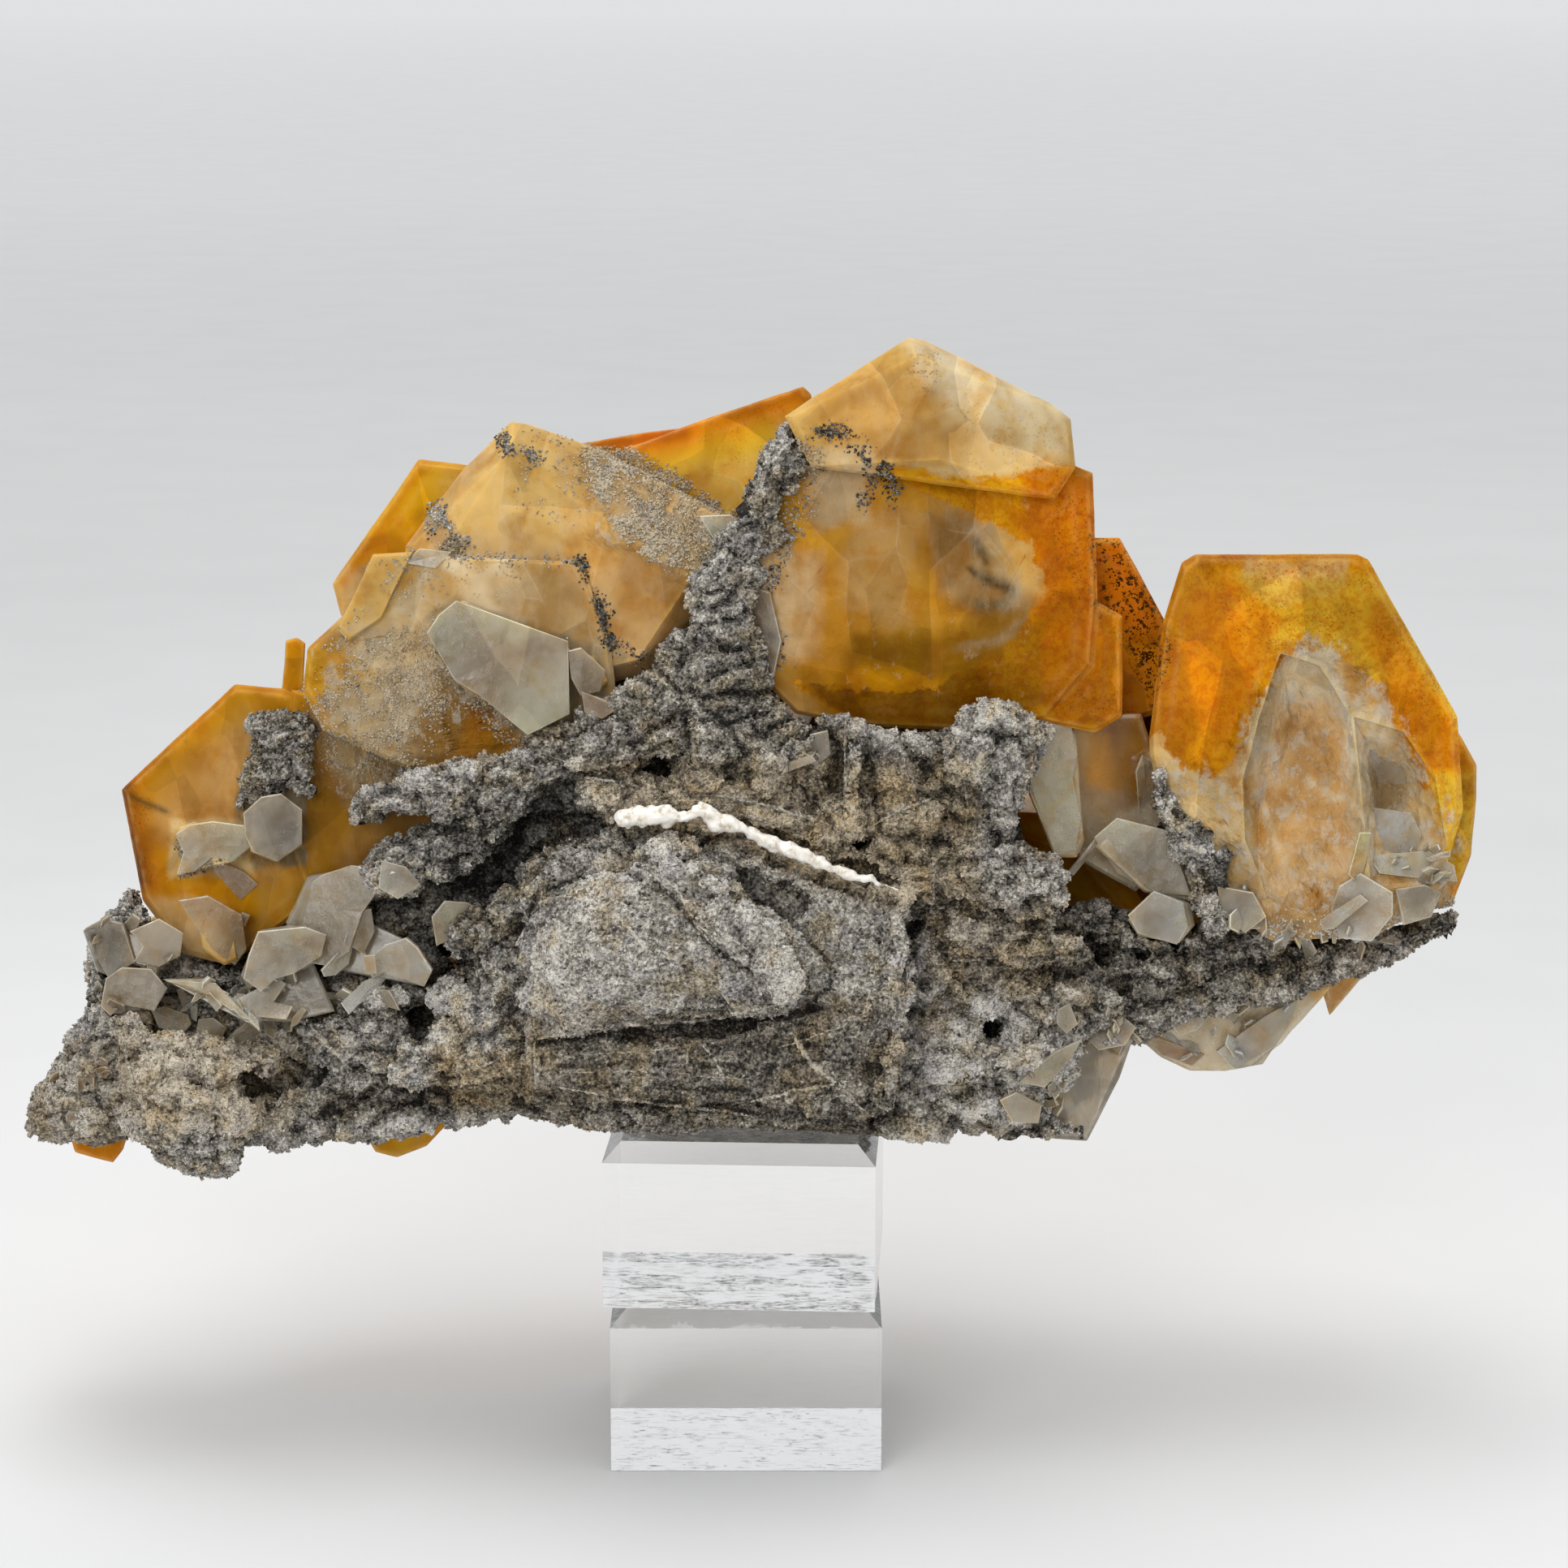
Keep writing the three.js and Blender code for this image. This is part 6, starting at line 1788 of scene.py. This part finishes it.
# Thin plates
# Single plates as they are seen: outline, thickness, how far they stand towards the viewer in
# millimetres, lean back and turn right in degrees, and paint.
plates = (
    (
        "352 1136,372 1096,396 1078,432 1066,466 1070,470 1090,446 1124,430 1172,402 1190,"
        "368 1184",
        1.0, 2.6, 12, -14, "pearl",
    ),
    (
        "318 1148,376 1142,402 1152,396 1178,362 1200,340 1206,322 1222,300 1206,306 1178",
        1.1, 3.6, 6, 10, "pearl",
    ),
    (
        "452 1186,474 1164,500 1156,514 1168,532 1196,522 1216,500 1208,472 1200,458 1206",
        1.0, 3.0, -6, -18, "milk",
    ),
    ("204 1208,266 1211,290 1236,312 1258,298 1254,262 1228,236 1216", 0.6, 2.6, 30, 8, "cream"),
    ("288 1232,342 1206,352 1212,334 1238,360 1240,352 1256,312 1252", 0.7, 3.0, 24, -10, "milk"),
    ("186 1244,204 1240,232 1250,236 1262,224 1276,196 1266", 0.8, 2.0, 10, 20, "milk"),
    ("244 1256,262 1254,278 1266,270 1286,240 1276", 0.7, 1.6, 10, -20, "pearl"),
    ("278 1282,310 1254,340 1262,322 1286,300 1294", 0.7, 1.4, 0, 12, "ash"),
    ("396 1196,424 1166,436 1164,430 1188,414 1202,400 1204", 0.5, 3.4, -12, 30, "milk"),
    ("448 1178,462 1176,464 1200,450 1200", 0.6, 4.6, 0, 0, "milk"),
    ("420 1236,450 1208,486 1196,470 1212,440 1240,430 1250", 0.5, 3.0, 18, 12, "milk"),
    ("424 1160,440 1122,458 1120,462 1148,448 1176", 0.6, 3.6, 0, 24, "pearl"),
    ("538 1166,532 1130,548 1110,576 1112,600 1124,570 1150", 0.8, 1.6, 4, 14, "pearl"),
    ("466 1094,470 1060,500 1068,518 1090,490 1108", 0.8, 1.6, 10, 0, "pearl"),
    (
        "216 1028,234 1016,262 1012,306 1018,310 1042,286 1062,262 1056,240 1074,218 1078,"
        "226 1050",
        0.8, 1.4, 0, 0, "cream",
    ),
    ("300 1002,322 982,346 978,372 998,372 1040,342 1062,312 1050,302 1030", 0.9, 2.2, 0, 6, "slate"),
    ("262 1072,276 1064,300 1074,318 1090,296 1110", 0.6, 1.2, -6, 0, "peach"),
    ("220 1110,256 1104,298 1128,304 1170,290 1190,262 1170", 0.8, 1.8, -8, 14, "straw"),
    ("298 1124,292 1136,302 1142,308 1128", 0.8, 3.4, 0, 0, "cream"),
    ("104 1144,126 1132,150 1138,166 1186,132 1204,118 1180", 1.0, 1.6, 0, -20, "slate"),
    ("160 1148,196 1132,226 1150,222 1178,196 1192,166 1184,176 1166", 0.7, 2.0, 4, 10, "ash"),
    ("130 1206,150 1192,186 1194,206 1218,190 1246,150 1238,136 1252,124 1240", 0.8, 1.8, 4, 0, "ash"),
    (
        "526 780,540 758,562 740,640 768,700 790,702 880,650 906,592 858,560 838",
        1.2, 1.4, 4, 6, "dusk",
    ),
    ("700 802,716 798,746 826,740 852,716 858,704 836", 0.8, 1.4, 0, 14, "sand"),
    ("716 852,744 862,760 874,742 886,720 878", 0.7, 1.4, 8, -10, "umber"),
    ("500 694,516 676,556 680,536 700", 0.6, 1.0, 10, 0, "milk"),
    ("862 636,900 634,922 650,910 676,884 672", 0.9, 1.6, 4, 10, "cream"),
    (
        "1655 872,1680 888,1700 912,1736 956,1744 990,1736 1004,1700 1006,1684 984,"
        "1668 950",
        1.0, 1.2, -6, 10, "milk",
    ),
    ("1672 992,1740 1002,1752 1030,1744 1056,1706 1052,1682 1030", 1.0, 1.4, 10, 4, "milk"),
    ("1676 1026,1690 1026,1684 1062,1674 1090,1662 1078", 0.6, 2.2, 0, 30, "straw"),
    ("1684 1054,1760 1048,1792 1066,1796 1086,1752 1082,1700 1076", 0.9, 1.6, 24, 0, "pearl"),
    ("1650 1092,1676 1076,1716 1100,1716 1128,1690 1160,1650 1156,1640 1120", 0.8, 1.8, 6, -14, "milk"),
    ("1626 1134,1676 1102,1686 1110,1644 1144,1630 1146", 0.5, 3.2, 14, 0, "milk"),
    ("1720 1096,1756 1090,1776 1100,1764 1130,1730 1140", 0.8, 1.6, 4, 10, "pearl"),
    ("1596 1146,1632 1148,1700 1160,1672 1174,1616 1166", 0.7, 1.4, 16, 0, "milk"),
    ("1500 1092,1544 1100,1560 1130,1534 1150,1504 1126", 0.8, 1.2, 0, -10, "pearl"),
    (
        "1266 960,1276 890,1296 876,1318 884,1328 930,1322 960,1332 1008,1326 1048,"
        "1300 1054,1286 1010",
        1.1, 1.0, 0, 12, "cream",
    ),
    ("1348 1032,1376 1008,1440 1024,1452 1060,1468 1104,1420 1100,1376 1076", 1.1, 1.2, 6, -6, "pearl"),
    ("1390 1128,1422 1098,1458 1112,1464 1142,1450 1164,1402 1150", 1.2, 1.8, 4, 0, "milk"),
    ("1316 1074,1322 1080,1358 1036,1352 1030", 0.6, 5.0, 0, 0, "pearl"),
    ("1280 892,1302 882,1312 886,1290 902,1282 904", 0.5, 2.0, 0, 0, "milk"),
    ("1400 950,1408 930,1424 940,1420 990,1404 1004", 0.8, 0.8, 0, 20, "sand"),
    ("1336 1262,1352 1250,1384 1252,1400 1266,1386 1288,1354 1294,1338 1280", 1.2, 1.4, 14, 0, "ash"),
    ("1232 1356,1252 1346,1284 1362,1280 1384,1248 1384", 1.0, 1.4, 0, 10, "milk"),
    ("1256 1334,1300 1296,1334 1280,1320 1304,1288 1340", 0.7, 1.6, 10, 8, "pearl"),
    ("1304 1244,1318 1236,1328 1262,1314 1274,1302 1262", 0.8, 1.2, 0, 0, "pearl"),
    ("1440 1256,1476 1236,1500 1244,1474 1270,1452 1276", 0.8, 1.0, 0, 12, "milk"),
    ("1500 1296,1560 1252,1600 1232,1590 1262,1556 1312,1520 1318", 0.9, 1.0, -14, 16, "milk"),
    ("1404 1268,1440 1284,1484 1300,1470 1314,1430 1300", 0.8, 0.8, -10, 0, "peach"),
    ("918 720,948 730,962 790,952 836,934 800,920 760", 0.9, 0.8, 0, -24, "ash"),
    ("998 905,1020 900,1024 930,1004 946,994 928", 0.9, 1.0, 0, 0, "ash"),
    ("956 944,1000 930,1006 938,968 952", 0.7, 1.4, 12, 0, "ash"),
)
plateLook = {
    "thicker": 0.95,
    "bevel": 0.2,
    "warmWhite": np.array([0.88, 0.76, 0.6]),
    "white": {"milk": 0.9, "cream": 0.5},  # how far these paints go towards warm white
    "whiteElse": 0.25,
}
# Clusters of small six-sided plates: area as seen, how many, radius in picture points, paint.
plateFields = (
    ("1500 1110,1560 1140,1700 1150,1780 1110,1770 1140,1680 1172,1560 1168", 30, (8, 18), "milk"),
    ("1700 1040,1780 1050,1790 1090,1720 1100", 14, (8, 17), "pearl"),
    ("300 1180,420 1190,520 1220,440 1250,330 1270,200 1250", 34, (8, 20), "pearl"),
    ("110 1110,230 1140,220 1250,120 1240", 18, (8, 18), "ash"),
    ("60 1290,130 1260,150 1330,80 1390", 9, (7, 12), "umber"),
    ("1230 1340,1300 1310,1320 1350,1260 1396", 12, (8, 18), "pearl"),
    ("1330 1250,1410 1250,1400 1300,1330 1300", 7, (8, 14), "pearl"),
    ("1430 1250,1590 1230,1520 1310,1440 1300", 12, (9, 20), "milk"),
)


def plateShape(outline, thickness, lift, lean, turn):
    # A thin plate whose outline is drawn as seen. Its plane leans and turns, and passes a little in
    # front of what lies behind its middle; every corner runs along its own line of sight to it.
    outline = traced(outline)
    middleRay = sightLines(outline.mean(0)[None])
    reach = reachedAlong(middleRay, [rockWalls, crystalWalls])[0]
    if np.isnan(reach):
        return None
    lean, turn = math.radians(lean), math.radians(turn)
    facing = unit(np.array([math.sin(turn), -math.cos(turn) * math.cos(lean), math.sin(lean)]))
    middle = eye + middleRay[0] * (reach - lift)
    rays = sightLines(outline)
    corners = eye + rays * (((middle - eye) @ facing) / (rays @ facing))[:, None]
    centre = corners.mean(0)
    inward = unit(centre - corners)
    count = len(corners)
    thickness = plateLook["thicker"] * thickness
    rim = min(plateLook["bevel"], 0.3 * thickness)
    rings = [
        (corners + 0.15 * inward - facing * thickness, 0.6),
        (corners - facing * thickness * 0.8, 1.0),
        (corners - facing * rim, 1.0),
        (corners + rim * inward, 1.0),
    ]
    ends = centre[None] - facing * thickness, centre[None]
    points = np.concatenate([ends[0], *(ring for ring, _ in rings), ends[1]])
    edge = np.concatenate([[0.0]] + [np.full(count, value) for _, value in rings] + [[0.0]])
    here = np.arange(count)
    after = (here + 1) % count
    faces = [np.stack([np.zeros(count, int), 1 + here, 1 + after], -1)]
    for k in range(len(rings) - 1):
        a, b = 1 + k * count, 1 + (k + 1) * count
        faces.append(np.stack([a + here, b + here, b + after], -1))
        faces.append(np.stack([a + here, b + after, a + after], -1))
    last = 1 + (len(rings) - 1) * count
    faces.append(np.stack([last + here, np.full(count, len(points) - 1), last + after], -1))
    faces = np.concatenate(faces)
    turned = np.sum(faceNormals(points, faces[-1:]) * facing) < 0
    rimFaces = np.zeros(len(faces), int)
    rimFaces[5 * count : 7 * count] = 1
    return points, faces[:, ::-1] if turned else faces, edge, rimFaces


def thinPlates():
    random = np.random.default_rng(16)
    wanted = list(plates)
    for area, count, (small, large), name in plateFields:
        low, high = traced(area).min(0), traced(area).max(0)
        spots = random.uniform(low, high, (6 * count, 2))
        for spot in spots[inside(spots, area)][:count]:
            radius = random.uniform(small, large)
            corners = random.integers(4, 7)
            around = np.linspace(0, 2 * math.pi, corners, endpoint=False) + random.uniform(-0.2, 0.2, corners)
            around += random.uniform(0, 2)
            shape = np.stack([np.cos(around), random.uniform(0.25, 0.6) * np.sin(around)], -1)
            spin = random.uniform(0, math.pi)
            shape = shape @ np.array([[math.cos(spin), math.sin(spin)], [-math.sin(spin), math.cos(spin)]])
            shape = shape * random.uniform(0.7, 1.35, (corners, 1))
            lean, turn = random.uniform(-52, 52, 2)
            thickness, lift = random.uniform(0.4, 0.8), random.uniform(0.3, 1.6)
            wanted.append((spot + radius * shape, thickness, lift, lean, turn, name))
    meshes, edges, shades, rims = [], [], [], []
    for outline, thickness, lift, lean, turn, name in wanted:
        shape = plateShape(outline, thickness, lift, lean, turn)
        if shape is None:
            continue
        points, faces, edge, rimFaces = shape
        meshes.append((points, faces))
        rims.append(rimFaces)
        edges.append(edge)
        tint = paintOf(name) * random.uniform(0.8, 1.15)
        tint += plateLook["white"].get(name, plateLook["whiteElse"]) * (plateLook["warmWhite"] - tint)
        # each plate is painted lighter towards one random side and darker towards the other, as painted light
        phase = random.uniform(0, 6)
        light = 1 + 0.35 * np.sin(phase + (points - points.mean(0)) @ random.normal(0, 0.25, 3))
        shades.append(tint * light[:, None])
    points, faces = joined(meshes)
    values = {
        "edge": np.concatenate(edges),
        "veil": np.full(len(points), 0.9),
        "speck": np.full(len(points), 0.05),
        "etch": 0.75 * stepUp(swell(points, 5, 95), -0.5, 0.6),
    }
    made = writeMesh("thinPlates", points, faces, values)
    paintOn(made.data, np.concatenate(shades))
    placed(made, plateCalcite, "calcite_pale")
    made.data.materials.append(rimCalcite)
    made.data.polygons.foreach_set("material_index", np.concatenate(rims))
    report(f"thin plates: {len(faces)} triangles")


# Crust that sits by itself
smallCrust = {"net": 0.6, "grains": 1100, "size": (0.35, 0.7), "beige": 0.15, "pale": -0.1}


def leftCrust():
    points, faces, relief, *_ = rockSurface("left_rock_crust", smallCrust["net"])
    # relief goes into the colour here too: painted light on what stands out, painted shade on what lies back
    values = {"relief": np.clip(relief, -1, 1)}
    values |= {key: np.full(len(points), smallCrust[key]) for key in ("beige", "pale")}
    made = writeMesh("leftRockCrust", points, faces, values, smooth=True)
    placed(made, sugaryRock, "matrix_rock", "left_rock_crust")
    random = np.random.default_rng(9)
    places, normals, _ = spotsOn(points, faces, np.ones(len(points)), smallCrust["grains"], random)
    size = random.uniform(*smallCrust["size"], len(places))
    values = {"tone": random.normal(0, 0.1, len(places))}
    grainField("leftCrustGrains", places, normals, size, values, rockGrain, "matrix_rock", 62)


whiteVein()
rockVeinlets()
thinPlates()
leftCrust()
report("vein, veinlets, plates and crust made")
